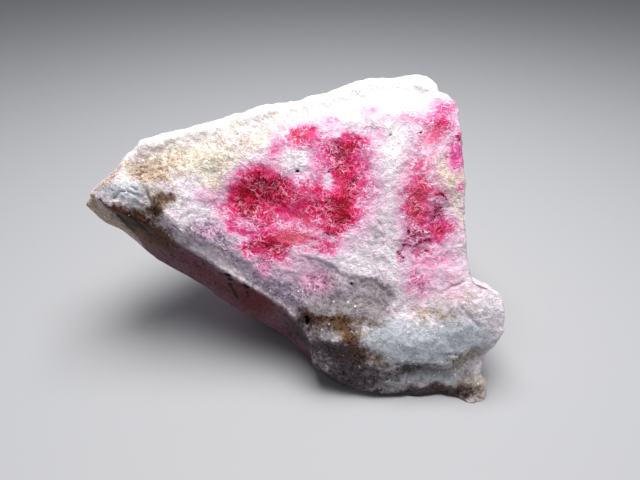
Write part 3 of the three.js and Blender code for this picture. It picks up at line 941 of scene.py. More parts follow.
        (3.0, -4.3, 1.2, 0.4, 0.6), (9.7, -7.2, 1.2, 0.6, 0.45), (5.8, -8.2, 2.8, 0.6, 0.5),
        (3.2, -7.4, 1.0, 0.9, 0.6), (9.9, -9.8, 0.6, 0.8, 0.6), (10.6, -9.2, 0.7, 0.9, 0.35),
        (8.0, -10.0, 2.0, 0.6, 0.7), (-13.9, 2.2, 2.0, 1.2, 1.1, -35), (-12.4, 1.6, 1.0, 0.8, 0.7, -35),
        (-15.3, 3.2, 0.9, 0.4, 0.6, -55),
    )),
    # grey of the rock; the patches round the swell and low on the face are also painted shade of the lower
    # face, which turns away from the light
    *patches_of(Stain.GREY, (
        (-14.8, 4.8, 1.4, 0.7, 0.8), (-8.6, 2.0, 1.1, 0.9, 1.0), (-10.2, 3.2, 1.8, 1.3, 0.35),
        (-6.5, 0.2, 1.8, 0.8, 0.6, -30), (-4.3, -2.0, 2.2, 1.0, 0.65, -40), (0.8, -2.9, 2.6, 1.6, 1.1),
        (3.4, -3.2, 1.3, 1.6, 1.0), (-1.6, -1.8, 1.8, 1.3, 0.65), (9.9, -6.7, 1.3, 0.5, 0.5),
        (5.0, -8.2, 3.6, 1.1, 1.1), (9.0, -8.4, 1.6, 1.0, 0.9), (1.8, -7.5, 3.0, 1.3, 1.0),
        (-0.3, -5.4, 1.5, 0.9, 1.2), (3.8, -6.9, 1.8, 0.6, 0.9), (7.3, -5.6, 1.6, 0.7, 0.6),
        (5.0, -9.2, 6.0, 0.7, 1.0), (-13.6, 4.9, 0.7, 0.35, 0.8), (-13.0, 6.4, 1.2, 0.55, 0.9),
        (-3.0, -0.8, 2.2, 1.2, 0.5, -30), (7.2, -6.7, 2.4, 0.7, 0.6), (-12.4, 5.4, 0.9, 0.5, 0.45),
        (3.6, 2.6, 1.4, 1.8, 0.3), (7.6, -7.4, 2.6, 0.8, 0.7), (10.9, -3.4, 1.4, 1.8, 0.35),
        (10.6, -8.6, 1.0, 0.8, 0.5),
    )),
    *patches_of(Stain.LILAC, (
        (-8.4, 1.9, 1.5, 1.1, 1.1), (-6.9, 0.4, 1.8, 0.8, 0.7, -30), (-4.3, -1.6, 2.4, 1.1, 0.85, -38),
        (-1.4, -1.4, 1.8, 1.2, 0.8), (1.4, -1.9, 1.4, 0.6, 0.5), (-10.8, 1.8, 1.4, 0.6, 0.4, -30),
        (-2.8, -3.2, 1.0, 0.6, 0.4, -35), (3.0, 1.6, 1.4, 1.6, 0.3),
    )),
    # dark brown-grey of the rock and painted shade: these patches darken the lower left and the bottom
    # edge, which lie in shade
    *patches_of(Stain.DIRT_AND_SHADE, (
        (-0.8, -6.6, 0.9, 0.9, 0.5), (-0.5, -6.0, 1.1, 0.3, 0.9), (1.2, -7.5, 1.2, 0.7, 0.8),
        (1.2, -8.4, 2.6, 0.7, 0.9), (0.6, -9.2, 3.0, 0.7, 1.0), (6.3, -10.0, 4.0, 0.5, 1.1),
        (-12.6, 3.6, 0.35, 0.4, 0.3), (-2.6, -5.2, 1.4, 1.0, 0.7, -45), (4.6, -8.6, 2.4, 0.6, 0.4),
        (5.6, -7.9, 3.0, 0.5, 0.4), (-0.6, -4.4, 0.8, 0.25, 0.5), (0.5, -6.2, 1.2, 0.3, 0.8),
        (-1.7, -5.2, 0.7, 0.9, 0.6), (-0.9, -7.6, 0.8, 0.8, 0.6), (0.2, -6.9, 1.6, 0.7, 0.5),
        (-0.4, -5.1, 1.1, 0.5, 0.5),
    )),
    # deep red of the slanting side, its tone darkened as painted shade of that side
    *patches_of(Stain.SHADED_BLUSH, (
        (-5.6, -3.0, 1.6, 1.6, 1.0, -30), (-8.0, -2.2, 2.0, 0.9, 0.5, -30),
        (-10.6, -0.4, 2.4, 0.6, 0.5, -30),
    )),
    # umber, a brown of the rock; the patches low on the face and at the bottom edge also darken it as
    # painted shade
    *patches_of(Stain.UMBER, (
        (-13.8, 2.6, 1.8, 0.8, 1.2, -35), (-15.3, 3.3, 0.9, 0.5, 1.1, -50), (-12.6, 3.6, 0.4, 0.5, 0.5),
        (-12.6, 1.3, 1.2, 0.6, 0.6, -35), (-1.2, -4.3, 0.9, 0.3, 0.7), (0.7, -4.4, 1.3, 0.3, 0.6),
        (1.7, -7.0, 1.0, 1.2, 1.0), (0.6, -6.5, 1.5, 0.7, 0.9), (8.2, -9.9, 2.0, 0.5, 0.9),
        (-1.8, -3.7, 0.4, 0.3, 0.5),
    )),
)


@dataclass(frozen=True)
class Streak:
    """A stained line: black down the slanting side, or deep red through the face's reds."""

    line: tuple[tuple[float, float], ...]
    width: float
    strength: float


@dataclass(frozen=True)
class Cloud:
    """One stain's clouds on the hidden sides: where wide noise passes a level, eased in over a span."""

    strength: float
    width: float
    salt: int
    level: float
    span: float
    layers: int = 3

    def cover(self, points: np.ndarray) -> np.ndarray:
        """Strength of the stain at many points."""
        noise = cloud(points, self.width, self.salt, self.layers)
        return self.strength * smooth((noise - self.level) / self.span)


CLOUDS = {
    Stain.RED: Cloud(0.9, 5.5, 71, 0.02, 0.6),
    Stain.CREAM: Cloud(0.6, 7.0, 83, -0.05, 0.5),
    Stain.GREY: Cloud(0.8, 6.0, 97, -0.1, 0.5),
    Stain.OCHRE: Cloud(0.7, 3.5, 103, 0.3, 0.3),
}

# The stains of the broad face alone, which stop at the slanting side.
FACE_STAINS = (
    Stain.RED, Stain.MAGENTA, Stain.SALMON, Stain.PLUM, Stain.CREAM, Stain.PAINTED_GLARE, Stain.PALE, Stain.GREY,
    Stain.LILAC,
)

# Black streaks down the slanting side.
SLANT_STREAKS = (
    Streak(((-16.3, 4.4), (-15.8, 3.7), (-15.4, 2.9)), 0.1, 0.6),
    Streak(((-15.5, 3.2), (-15.0, 2.4), (-14.8, 2.0)), 0.14, 0.9),
    Streak(((-14.3, 3.1), (-13.9, 2.7)), 0.12, 0.9),
    Streak(((-13.9, 2.6), (-13.5, 2.1)), 0.15, 0.9),
    Streak(((-13.45, 2.0), (-13.2, 1.75)), 0.1, 0.7),
    Streak(((-14.5, 2.5), (-14.2, 2.0)), 0.1, 0.4),
    Streak(((-12.6, 1.9), (-12.3, 1.6)), 0.1, 0.4),
    Streak(((-7.55, -0.95), (-7.4, -1.2), (-7.25, -1.5)), 0.13, 0.9),
    Streak(((-7.4, -1.85), (-7.3, -2.1)), 0.13, 0.8),
    Streak(((-7.25, -2.3), (-7.05, -3.1)), 0.12, 0.8),
    Streak(((-6.25, -1.75), (-6.0, -2.1)), 0.13, 0.9),
    Streak(((-6.1, -2.4), (-6.05, -2.9)), 0.11, 0.6),
)

# Deep red veins in the reds of the face.
VEINS = (
    Streak(((-6.4, 3.5), (-6.0, 3.15), (-5.7, 2.8)), 0.10, 0.8),
    Streak(((-5.5, 2.8), (-4.9, 2.6), (-4.4, 2.75)), 0.13, 0.6),
    Streak(((-3.9, 6.15), (-3.4, 6.0), (-3.15, 5.8)), 0.10, 0.6),
    Streak(((-4.8, 5.8), (-4.4, 5.5), (-3.9, 5.4)), 0.22, 0.5),
    Streak(((-5.8, 5.4), (-5.5, 4.9)), 0.08, 0.5),
    Streak(((-5.9, 1.2), (-5.4, 1.0)), 0.10, 0.7),
    Streak(((-3.4, 1.4), (-3.1, 1.3)), 0.12, 0.6),
    Streak(((-1.1, 4.2), (-0.8, 4.15)), 0.12, 0.7),
    Streak(((-0.2, 4.2), (0.7, 4.1), (1.3, 4.2)), 0.16, 0.5),
    Streak(((-0.3, 2.0), (0.1, 1.95), (0.5, 2.0)), 0.12, 0.8),
    Streak(((0.1, 7.6), (0.5, 7.55), (0.8, 7.4)), 0.2, 0.6),
    Streak(((1.7, 5.9), (1.9, 5.7)), 0.12, 0.6),
    Streak(((7.2, 3.2), (7.5, 3.5), (7.4, 4.0)), 0.11, 0.9),
    Streak(((7.55, 4.7), (7.9, 4.7), (8.25, 4.4)), 0.08, 0.7),
    Streak(((7.5, 3.7), (7.7, 3.7)), 0.2, 0.9),
    Streak(((8.0, 3.3), (8.3, 3.4)), 0.09, 0.6),
    Streak(((5.45, 2.25), (6.0, 2.1), (7.0, 2.35)), 0.09, 0.9),
    Streak(((5.4, 1.8), (6.2, 1.85), (7.1, 2.1)), 0.09, 0.7),
    Streak(((3.6, 1.35), (4.2, 1.5), (5.3, 1.6)), 0.16, 0.26),
    Streak(((5.0, 1.2), (5.9, 1.15), (6.5, 1.5), (7.1, 1.6)), 0.08, 0.7),
    Streak(((6.3, 0.55), (7.3, 0.8)), 0.07, 0.5),
    Streak(((4.6, 0.75), (5.1, 0.35)), 0.12, 0.6),
    Streak(((9.0, 8.6), (9.15, 8.5)), 0.14, 0.7),
)


@dataclass(frozen=True)
class Shift:
    """Soft noise that moves places about, with one scatter for each axis that it moves."""

    width: float
    amount: float
    salts: tuple[int, ...]
    layers: int = 2

    def moved(self, points: np.ndarray) -> np.ndarray:
        """How far each point moves along each axis."""
        moves = [self.amount * cloud(points, self.width, salt, self.layers) for salt in self.salts]
        return np.stack(moves, axis=1)


@dataclass(frozen=True)
class Sliver:
    """The pale tan sliver at the tip, on the slanting side."""

    line: tuple[tuple[float, float], ...] = (
        (-16.5, 4.9), (-15.9, 4.0), (-15.4, 3.0), (-14.9, 2.0), (-14.5, 1.2),
    )
    line_fade: float = 0.3
    right_end: float = -14.4
    right_fade: float = 0.8
    tan: float = 0.8

    def share(self, uvw: np.ndarray) -> np.ndarray:
        """Works out how far places lie on the sliver: right of its line and left of its end.

        Args:
            uvw: places in the frame of the face, shape (n, 3).

        Returns:
            From 0 off the sliver to 1 on it.
        """
        away, right, _ = along_line(np.array(self.line), uvw[:, :2])
        past_line = np.where(right, smooth(away / self.line_fade), 0)
        return past_line * smooth((self.right_end - uvw[:, 0]) / self.right_fade)


@dataclass
class StainChart:
    """Works out every stain for every point of the stone."""

    shape: StoneShape
    sliver: Sliver = Sliver()
    ragged: tuple[Shift, ...] = (Shift(2.0, 0.32, (61, 64)), Shift(0.7, 0.26, (67, 70)))
    drift: Shift = Shift(3.4, 2.2, (113, 120, 127))
    face_end: float = 1.6
    face_fade: float = 1.6
    # painted shade of the hidden sides: how dark they are painted at the floor, up to what height, and
    # over what fade
    painted_shade_strength: float = 0.65
    painted_shade_height: float = 3.6
    painted_shade_fade: float = 3.4

    def on_face(self, stain: Stain, uv: np.ndarray) -> np.ndarray:
        """Joins a stain's patches: what is left clean is the product of what each leaves.

        A patch of negative strength then washes its own share of the stain away.

        Args:
            stain: the stain that is wanted.
            uv: places on the face, shape (n, 2).

        Returns:
            The stain's strength at each place.
        """
        clean = np.ones(len(uv))
        washed = np.ones(len(uv))
        for patch in PATCHES:
            if patch.stain is stain and patch.strength > 0:
                clean *= 1 - patch.cover(uv)
            elif patch.stain is stain:
                washed *= 1 + patch.cover(uv)
        return (1 - clean) * washed

    def on_back(self, stain: Stain, points: np.ndarray) -> np.ndarray:
        """Works out a stain of the hidden sides: its cloud, or for the dirt-and-shade stain a painted
        shade that grows towards the floor.

        Args:
            stain: the stain that is wanted.
            points: places in millimetres, shape (n, 3).

        Returns:
            The stain's strength at each place.
        """
        if stain in CLOUDS:
            return CLOUDS[stain].cover(points)
        if stain is Stain.DIRT_AND_SHADE:
            # painted shade: the hidden sides are painted darker towards the floor
            return self.painted_shade_strength * smooth((self.painted_shade_height - points[:, 2]) / self.painted_shade_fade)
        return np.zeros(len(points))

    def stains(self, points: np.ndarray) -> dict[Stain, np.ndarray]:
        """Works out all the stains, with their places moved about so that none has a straight edge.

        Args:
            points: points of the stone in the scene's millimetres.

        Returns:
            One strength from 0 to 1 for each point and stain.
        """
        uvw = self.shape.face.measure(points)
        uv = uvw[:, :2] + sum(shift.moved(points) for shift in self.ragged)
        counted = self.shape.face.lattice(points)
        counted = counted + self.drift.moved(counted)
        slant = self.shape.slant.share(uvw)
        deep = smooth((uvw[:, 2] - self.face_end) / self.face_fade) * (1 - slant)
        chart = {}
        for stain in Stain:
            chart[stain] = mix(self.on_face(stain, uv), self.on_back(stain, counted), deep)
        for stain in FACE_STAINS:
            chart[stain] = chart[stain] * (1 - slant)
        sliver = slant * self.sliver.share(uvw)
        # the slanting side takes the shaded rind: its own colour, painted darker as painted shade
        chart[Stain.SHADED_RIND] = slant - sliver
        chart[Stain.SHADED_BLUSH] = chart[Stain.SHADED_BLUSH] * slant
        chart[Stain.TAN] = np.maximum(chart[Stain.TAN], self.sliver.tan * sliver)
        chart[Stain.VEIN] = self.lines(VEINS, uv) * (1 - deep) * (1 - slant)
        chart[Stain.DARK_MARKS] = self.dark_marks(uvw)
        return chart

    @staticmethod
    def lines(streaks: tuple[Streak, ...], uv: np.ndarray) -> np.ndarray:
        """Finds the strongest of the streaks, each a bell curve of the distance to its line.

        Args:
            streaks: the lines with their widths and strengths.
            uv: places on the face, shape (n, 2).

        Returns:
            The strength at each place.
        """
        shares = []
        for streak in streaks:
            distance = along_line(np.array(streak.line), uv)[0]
            shares.append(streak.strength * np.exp(-((distance / streak.width) ** 2)))
        return np.max(shares, axis=0)

    def dark_marks(self, uvw: np.ndarray) -> np.ndarray:
        """Works out the black in the slanting side's streaks and in the face's cracks and pits.

        Args:
            uvw: places in the frame of the face, shape (n, 3).

        Returns:
            The strength of the black at each place.
        """
        uv = uvw[:, :2]
        cracked = np.max([crack.dark * crack.nearness(uv) for crack in self.shape.cracks], axis=0)
        streaked = self.lines(SLANT_STREAKS, uv) * self.shape.slant.shallow(uvw)
        return np.maximum(streaked, cracked * self.shape.near_face(uvw))


# ---- the finish ----
FULL_TONE = 255
TONE_POWER = 2.2


def tone(red: int, green: int, blue: int) -> Colour:
    """A colour from its usual 0 to 255 values, made linear by a power law."""
    return tuple((value / FULL_TONE) ** TONE_POWER for value in (red, green, blue)) + (1.0,)


@dataclass(frozen=True)
class Grain:
    """One soft noise: the width of its features in millimetres, its layers, its warp and its shift."""

    width: float
    detail: float
    bend: float
    shift: float = 0.0


@dataclass(frozen=True)
class Fibre:
    """One set of crystal threads: a noise drawn out along one direction of the broad face.

    The turn is from the level direction up the face, and the spread is how near to one half the
    noise comes on a thread.
    """

    length: float
    width: float
    turn_deg: float
    spread: float
    detail: float = 1.5
    bend: float = 0.9


# The Mix node's sockets for its two colours.
BASE_SOCKET = 6
TOP_SOCKET = 7


class Bench:
    """Lays out shader nodes and joins them. A plain number or colour is set on the socket."""

    def __init__(self, material: bpy.types.Material) -> None:
        """Empties the material's nodes and starts from its Object coordinates.

        Args:
            material: the material to lay out.
        """
        self.tree = material.node_tree
        self.tree.nodes.clear()
        self.coordinates = self.add("ShaderNodeTexCoord").outputs["Object"]

    def add(self, kind: str, **settings: object) -> bpy.types.Node:
        """Adds a node.

        Args:
            kind: Blender's name for the kind of node.
            **settings: values for the node's properties.

        Returns:
            The node.
        """
        node = self.tree.nodes.new(kind)
        for name, value in settings.items():
            setattr(node, name, value)
        return node

    def feed(self, socket: Socket, value: object) -> None:
        """Joins a socket to another, or sets a plain value on it.

        Args:
            socket: the socket that takes the value.
            value: another node's socket, a number or a colour.
        """
        if isinstance(value, Socket):
            self.tree.links.new(value, socket)
        else:
            socket.default_value = value

    def maths(self, operation: str, a: object, b: object = 0.0, clamp: bool = False) -> Socket:
        """Works out a sum on one or two values.

        Args:
            operation: Blender's name for the sum.
            a: the first value.
            b: the second value, for a sum that has one.
            clamp: whether the result is held between 0 and 1.

        Returns:
            The result.
        """
        node = self.add("ShaderNodeMath", operation=operation, use_clamp=clamp)
        self.feed(node.inputs[0], a)
        self.feed(node.inputs[1], b)
        return node.outputs[0]

    def plus(self, a: object, b: object) -> Socket:
        """One value added to another."""
        return self.maths("ADD", a, b)

    def less(self, a: object, b: object) -> Socket:
        """The first value less the second."""
        return self.maths("SUBTRACT", a, b)

    def times(self, a: object, b: object) -> Socket:
        """One value times another."""
        return self.maths("MULTIPLY", a, b)

    def larger(self, a: object, b: object) -> Socket:
        """The larger of two values."""
        return self.maths("MAXIMUM", a, b)

    def blend(self, base: object, top: object, share: object, way: str = "MIX") -> Socket:
        """Lays one colour over another.

        Args:
            base: the colour below.
            top: the colour above.
            share: how much of the upper colour shows, from 0 to 1.
            way: Blender's name for the way to blend.

        Returns:
            The colour of both.
        """
        node = self.add("ShaderNodeMix", data_type="RGBA", blend_type=way)
        self.feed(node.inputs[0], share)
        self.feed(node.inputs[BASE_SOCKET], base)
        self.feed(node.inputs[TOP_SOCKET], top)
        return node.outputs[2]

    def step(
        self, value: object, low: float, high: float, least: object = 0.0, most: object = 1.0
    ) -> Socket:
        """Eases from least to most as the value goes from low to high.

        Args:
            value: the value that counts.
            low: where the ease starts.
            high: where it ends.
            least: the result at and below the start.
            most: the result at and past the end.

        Returns:
            The eased value.
        """
        node = self.add("ShaderNodeMapRange", interpolation_type="SMOOTHSTEP")
        for socket, given in zip(node.inputs, (value, low, high, least, most)):
            self.feed(socket, given)
        return node.outputs[0]

    def ramp(self, value: object, stops: tuple[tuple[float, Colour], ...]) -> Socket:
        """Takes a colour from a scale.

        Args:
            value: the place on the scale, from 0 to 1.
            stops: the place and colour of each stop, from the lowest.

        Returns:
            The colour between the two nearest stops.
        """
        node = self.add("ShaderNodeValToRGB")
        self.feed(node.inputs[0], value)
        marks = node.color_ramp.elements
        while len(marks) < len(stops):
            marks.new(0.5)
        for mark, (place, colour) in zip(marks, stops):
            mark.position = place
            mark.color = colour
        return node.outputs[0]

    def noise(self, grain: Grain) -> Socket:
        """Lays out soft noise.

        Args:
            grain: the noise's sizes.

        Returns:
            The noise, from 0 to 1.
        """
        place = self.coordinates
        if grain.shift:
            mapping = self.add("ShaderNodeMapping")
            mapping.inputs["Location"].default_value = (grain.shift, grain.shift, grain.shift)
            self.feed(mapping.inputs["Vector"], place)
            place = mapping.outputs[0]
        return self.textured(place, 1 / (grain.width * MM), grain.detail, grain.bend)

    def drawn_out(self, fibre: Fibre) -> Socket:
        """Lays out noise drawn out along one direction of the broad face.

        The coordinates are turned back into the fibre's own axes and divided by its length and
        width, so that one cell of the noise is as long and as wide as the fibre.

        Args:
            fibre: the fibre's sizes.

        Returns:
            The noise, from 0 to 1.
        """
        up_the_face = Matrix.Rotation(FaceFrame().slope, 3, "X")
        turned = up_the_face @ Matrix.Rotation(math.radians(fibre.turn_deg), 3, "Z")
        mapping = self.add("ShaderNodeMapping", vector_type="TEXTURE")
        mapping.inputs["Rotation"].default_value = turned.to_euler()
        mapping.inputs["Scale"].default_value = (fibre.length * MM, fibre.width * MM, fibre.width * MM)
        self.feed(mapping.inputs["Vector"], self.coordinates)
        return self.textured(mapping.outputs[0], 1.0, fibre.detail, fibre.bend)

    def textured(self, place: Socket, scale: float, detail: float, bend: float) -> Socket:
        """Lays out Blender's noise at a place.

        Args:
            place: the coordinates.
            scale: features for each unit of the coordinates.
            detail: layers of finer noise.
            bend: how far the noise is warped.

        Returns:
            The noise, from 0 to 1.
        """
        node = self.add("ShaderNodeTexNoise")
        self.feed(node.inputs["Vector"], place)
        node.inputs["Scale"].default_value = scale
        node.inputs["Detail"].default_value = detail
        node.inputs["Distortion"].default_value = bend
        return node.outputs[0]

    def cells(self, width: float) -> bpy.types.Node:
        """Lays out random cells.

        Args:
            width: about how far a cell is across, in millimetres.

        Returns:
            The node, with the way from each cell's middle and a random colour for each cell.
        """
        node = self.add("ShaderNodeTexVoronoi")
        self.feed(node.inputs["Vector"], self.coordinates)
        node.inputs["Scale"].default_value = 1 / (width * MM)
        return node

    def stain(self, stain: Stain) -> Socket:
        """The strength of a stain, from its point attribute."""
        return self.add("ShaderNodeAttribute", attribute_name=stain.value).outputs["Fac"]


# The noise in a stain comes in over this low end of its strength, so that clean rock stays clean.
STAIN_BEGINS: Ease = (0.02, 0.3)

# The glassy parts' own gloss, painted glints and bumps come in over this span of the glassy stains.
GLASSY_LOW = 0.2
GLASSY_HIGH = 1.0


@dataclass(frozen=True)
class Coat:
    """One stain's two tones, of its raised threads and of its shaded hollows, and how it ends. The
    hollows' tone is the stain's own tint painted darker as painted shade of the crust's relief.
    """

    stain: Stain
    thread: Colour
    shaded_hollow: Colour
    ragged: float = 0.9
    low: float = 0.05
    high: float = 0.95

    def laid(self, bench: Bench, colour: Socket, thread: Socket, ragged: Socket) -> Socket:
        """Lays the stain over a colour, its edge broken up by noise.

        The share is a step of the stain's strength plus the noise, where there is any stain.

        Args:
            bench: where the nodes are laid out.
            colour: the colour below.
            thread: from 0 in the hollows to 1 on the threads.
            ragged: noise from 0 to 1.

        Returns:
            The colour with the stain on it.
        """
        strength = bench.stain(self.stain)
        swing = bench.times(bench.less(ragged, 0.5), 2 * self.ragged)
        raised = bench.plus(strength, bench.times(swing, bench.step(strength, *STAIN_BEGINS)))
        own = bench.blend(self.shaded_hollow, self.thread, thread)
        return bench.blend(colour, own, bench.step(raised, self.low, self.high))


@dataclass(frozen=True)
class Crust:
    """The sugary crust: tangled crystal threads over fine grain, as a height and as bumps."""

    fibres: tuple[Fibre, ...] = (
        Fibre(0.85, 0.42, 25, 0.046),
        Fibre(0.80, 0.40, -35, 0.046),
        Fibre(0.60, 0.34, 85, 0.038),
    )
    thinning: Grain = Grain(1.1, 2.0, 0.3, 0.57)
    thinned: Ease = (0.3, 0.55, 0.6, 1.0)
    grain: Grain = Grain(0.26, 3.0, 0.4)
    grained: Ease = (0.3, 0.7)
    thread_share: float = 0.6
    grain_share: float = 0.4
    depth: float = 0.055
    slant_bumps: float = 0.2
    glassy_bumps: float = 0.5

    @staticmethod
    def ridge(bench: Bench, fibre: Fibre) -> Socket:
        """From 1 in the middle of a fibre's threads to 0 at the spread of its noise from one half."""
        off = bench.maths("ABSOLUTE", bench.less(bench.drawn_out(fibre), 0.5))
        return bench.maths("SUBTRACT", 1.0, bench.maths("DIVIDE", off, fibre.spread), True)

    def threads(self, bench: Bench) -> Socket:
        """The highest of the sets of threads, from 0 between them to 1 on them, thinned by noise."""
        height = functools.reduce(bench.larger, [self.ridge(bench, fibre) for fibre in self.fibres])
        return bench.times(height, bench.step(bench.noise(self.thinning), *self.thinned))

    def relief(self, bench: Bench, threads: Socket) -> Socket:
        """Height of the crust, from 0 to 1: shares of the threads and of the fine grain."""
        grain = bench.times(bench.step(bench.noise(self.grain), *self.grained), self.grain_share)
        return bench.maths("ADD", bench.times(threads, self.thread_share), grain, True)

    def normal(self, bench: Bench, relief: Socket, glassy: Socket) -> Socket:
        """Makes the normals: the relief as bumps, calmer on the slanting side and on clear parts.

        Args:
            bench: where the nodes are laid out.
            relief: the height of the crust, from 0 to 1.
            glassy: from 0 on sugary rock to 1 on the clear grey and pale parts.

        Returns:
            The normals.
        """
        calm = bench.step(bench.stain(Stain.SHADED_RIND), 0.0, 1.0, 1.0, self.slant_bumps)
        clear = bench.step(glassy, GLASSY_LOW, GLASSY_HIGH, 1.0, self.glassy_bumps)
        bump = bench.add("ShaderNodeBump")
        bench.feed(bump.inputs["Strength"], bench.times(calm, clear))
        bump.inputs["Distance"].default_value = self.depth * MM
        bench.feed(bump.inputs["Height"], relief)
        return bump.outputs[0]


@dataclass(frozen=True)
class PaintedGlints:
    """Painted glints: a few random cells painted white, standing in for light glinting off cleavage faces,
    which also get a lower roughness.

    A cell gets a painted glint where its random number is above a share, lower where the rock is glassy.
    """

    colour: Colour = tone(255, 255, 255)
    roughness: float = 0.12
    width: float = 0.17
    dull_share: float = 0.99
    glassy_share: float = 0.965
    middle: Ease = (0.45, 0.3)

    def laid(self, bench: Bench, glassy: Socket) -> Socket:
        """Lays out the painted glints, on the clean and colourless parts alone.

        Args:
            bench: where the nodes are laid out.
            glassy: from 0 on sugary rock to 1 on the clear grey and pale parts.

        Returns:
            1 on a painted glint and 0 elsewhere.
        """
        cells = bench.cells(self.width)
        random = bench.add("ShaderNodeSeparateColor")
        bench.feed(random.inputs[0], cells.outputs["Color"])
        share = bench.step(glassy, GLASSY_LOW, GLASSY_HIGH, self.dull_share, self.glassy_share)
        chosen = bench.maths("GREATER_THAN", random.outputs[0], share)
        covered = bench.plus(bench.stain(Stain.SHADED_RIND), bench.stain(Stain.RED))
        covered = bench.plus(covered, bench.stain(Stain.DIRT_AND_SHADE))
        clean = bench.maths("SUBTRACT", 1.0, covered, True)
        return bench.times(bench.times(chosen, clean), bench.step(cells.outputs[0], *self.middle))


@dataclass(frozen=True)
class Reds:
    """The tugtupite: a tint on the white rock where there is little, then a scale of reds."""

    scale: tuple[tuple[float, Colour], ...] = (
        (0.10, tone(250, 226, 238)),
        (0.28, tone(242, 188, 212)),
        (0.42, tone(234, 138, 178)),
        (0.55, tone(224, 88, 142)),
        (0.70, tone(216, 52, 108)),
        (0.85, tone(206, 24, 78)),
        (0.94, tone(190, 10, 58)),
        (1.00, tone(148, 0, 38)),
    )
    magenta: Colour = tone(205, 74, 160)
    salmon: Colour = tone(240, 116, 120)
    leaning: float = 0.6
    tint: Colour = tone(236, 196, 220)
    tinted: Ease = (0.0, 0.3)
    covered: Ease = (0.05, 0.4)
    strength: float = 1.1
    speckle: float = 0.9
    usual_thread: float = 0.25
    paling: float = 0.25

    def laid(self, bench: Bench, colour: Socket, ragged: Socket, threads: Socket) -> Socket:
        """Lays the reds over a colour.

        The place on the scale is the stain's strength, speckled by noise and paler on the threads.
        It leans to magenta or salmon by a share of those stains.

        Args:
            bench: where the nodes are laid out.
            colour: the colour below.
            ragged: noise from 0 to 1.
            threads: from 0 between the crystal threads to 1 on them.

        Returns:
            The colour with the reds on it.
        """
        red = bench.stain(Stain.RED)
        speckled = bench.times(bench.less(ragged, 0.5), self.speckle)
        paled = bench.times(bench.less(self.usual_thread, threads), self.paling)
        swing = bench.times(bench.plus(speckled, paled), bench.step(red, *STAIN_BEGINS))
        level = bench.maths("ADD", bench.times(red, self.strength), swing, True)
        reds = bench.ramp(level, self.scale)
        reds = bench.blend(reds, self.magenta, bench.times(bench.stain(Stain.MAGENTA), self.leaning))
        reds = bench.blend(reds, self.salmon, bench.times(bench.stain(Stain.SALMON), self.leaning))
        colour = bench.blend(colour, self.tint, bench.step(red, *self.tinted), "MULTIPLY")
        return bench.blend(colour, reds, bench.step(level, *self.covered))


@dataclass(frozen=True)
class Frost:
    """The frost of the crystal threads on the reds and lilacs: white on pale, rosy on deep red."""

    pale: Colour = tone(252, 216, 236)
    rosy: Colour = tone(255, 174, 206)
    deepened: Ease = (0.3, 0.85)
    on_red: Ease = (0.1, 0.4)
    on_lilac: float = 0.35
    patches: Grain = Grain(0.9, 2.0, 0.4, 0.77)
    patched: Ease = (0.42, 0.62, 0.25, 1.0)
    unbroken: Ease = (0.3, 0.6, 1.0, 0.0)
    on_threads: Ease = (0.45, 0.85)
    strength: float = 0.92

    def laid(self, bench: Bench, colour: Socket, threads: Socket) -> Socket:
        """Lays the frost over a colour, unbroken on pale red and in patches on deep red.

        Args:
            bench: where the nodes are laid out.
            colour: the colour below.
            threads: from 0 between the crystal threads to 1 on them.

        Returns:
            The colour with the frost on it.
        """
        red = bench.stain(Stain.RED)
        frost = bench.blend(self.pale, self.rosy, bench.step(red, *self.deepened))
        lilac = bench.times(bench.stain(Stain.LILAC), self.on_lilac)
        covered = bench.larger(bench.step(red, *self.on_red), lilac)
        patchy = bench.step(bench.noise(self.patches), *self.patched)
        covered = bench.times(covered, bench.larger(patchy, bench.step(red, *self.unbroken)))
        amount = bench.times(bench.step(threads, *self.on_threads), covered)
        return bench.blend(colour, frost, bench.times(amount, self.strength))


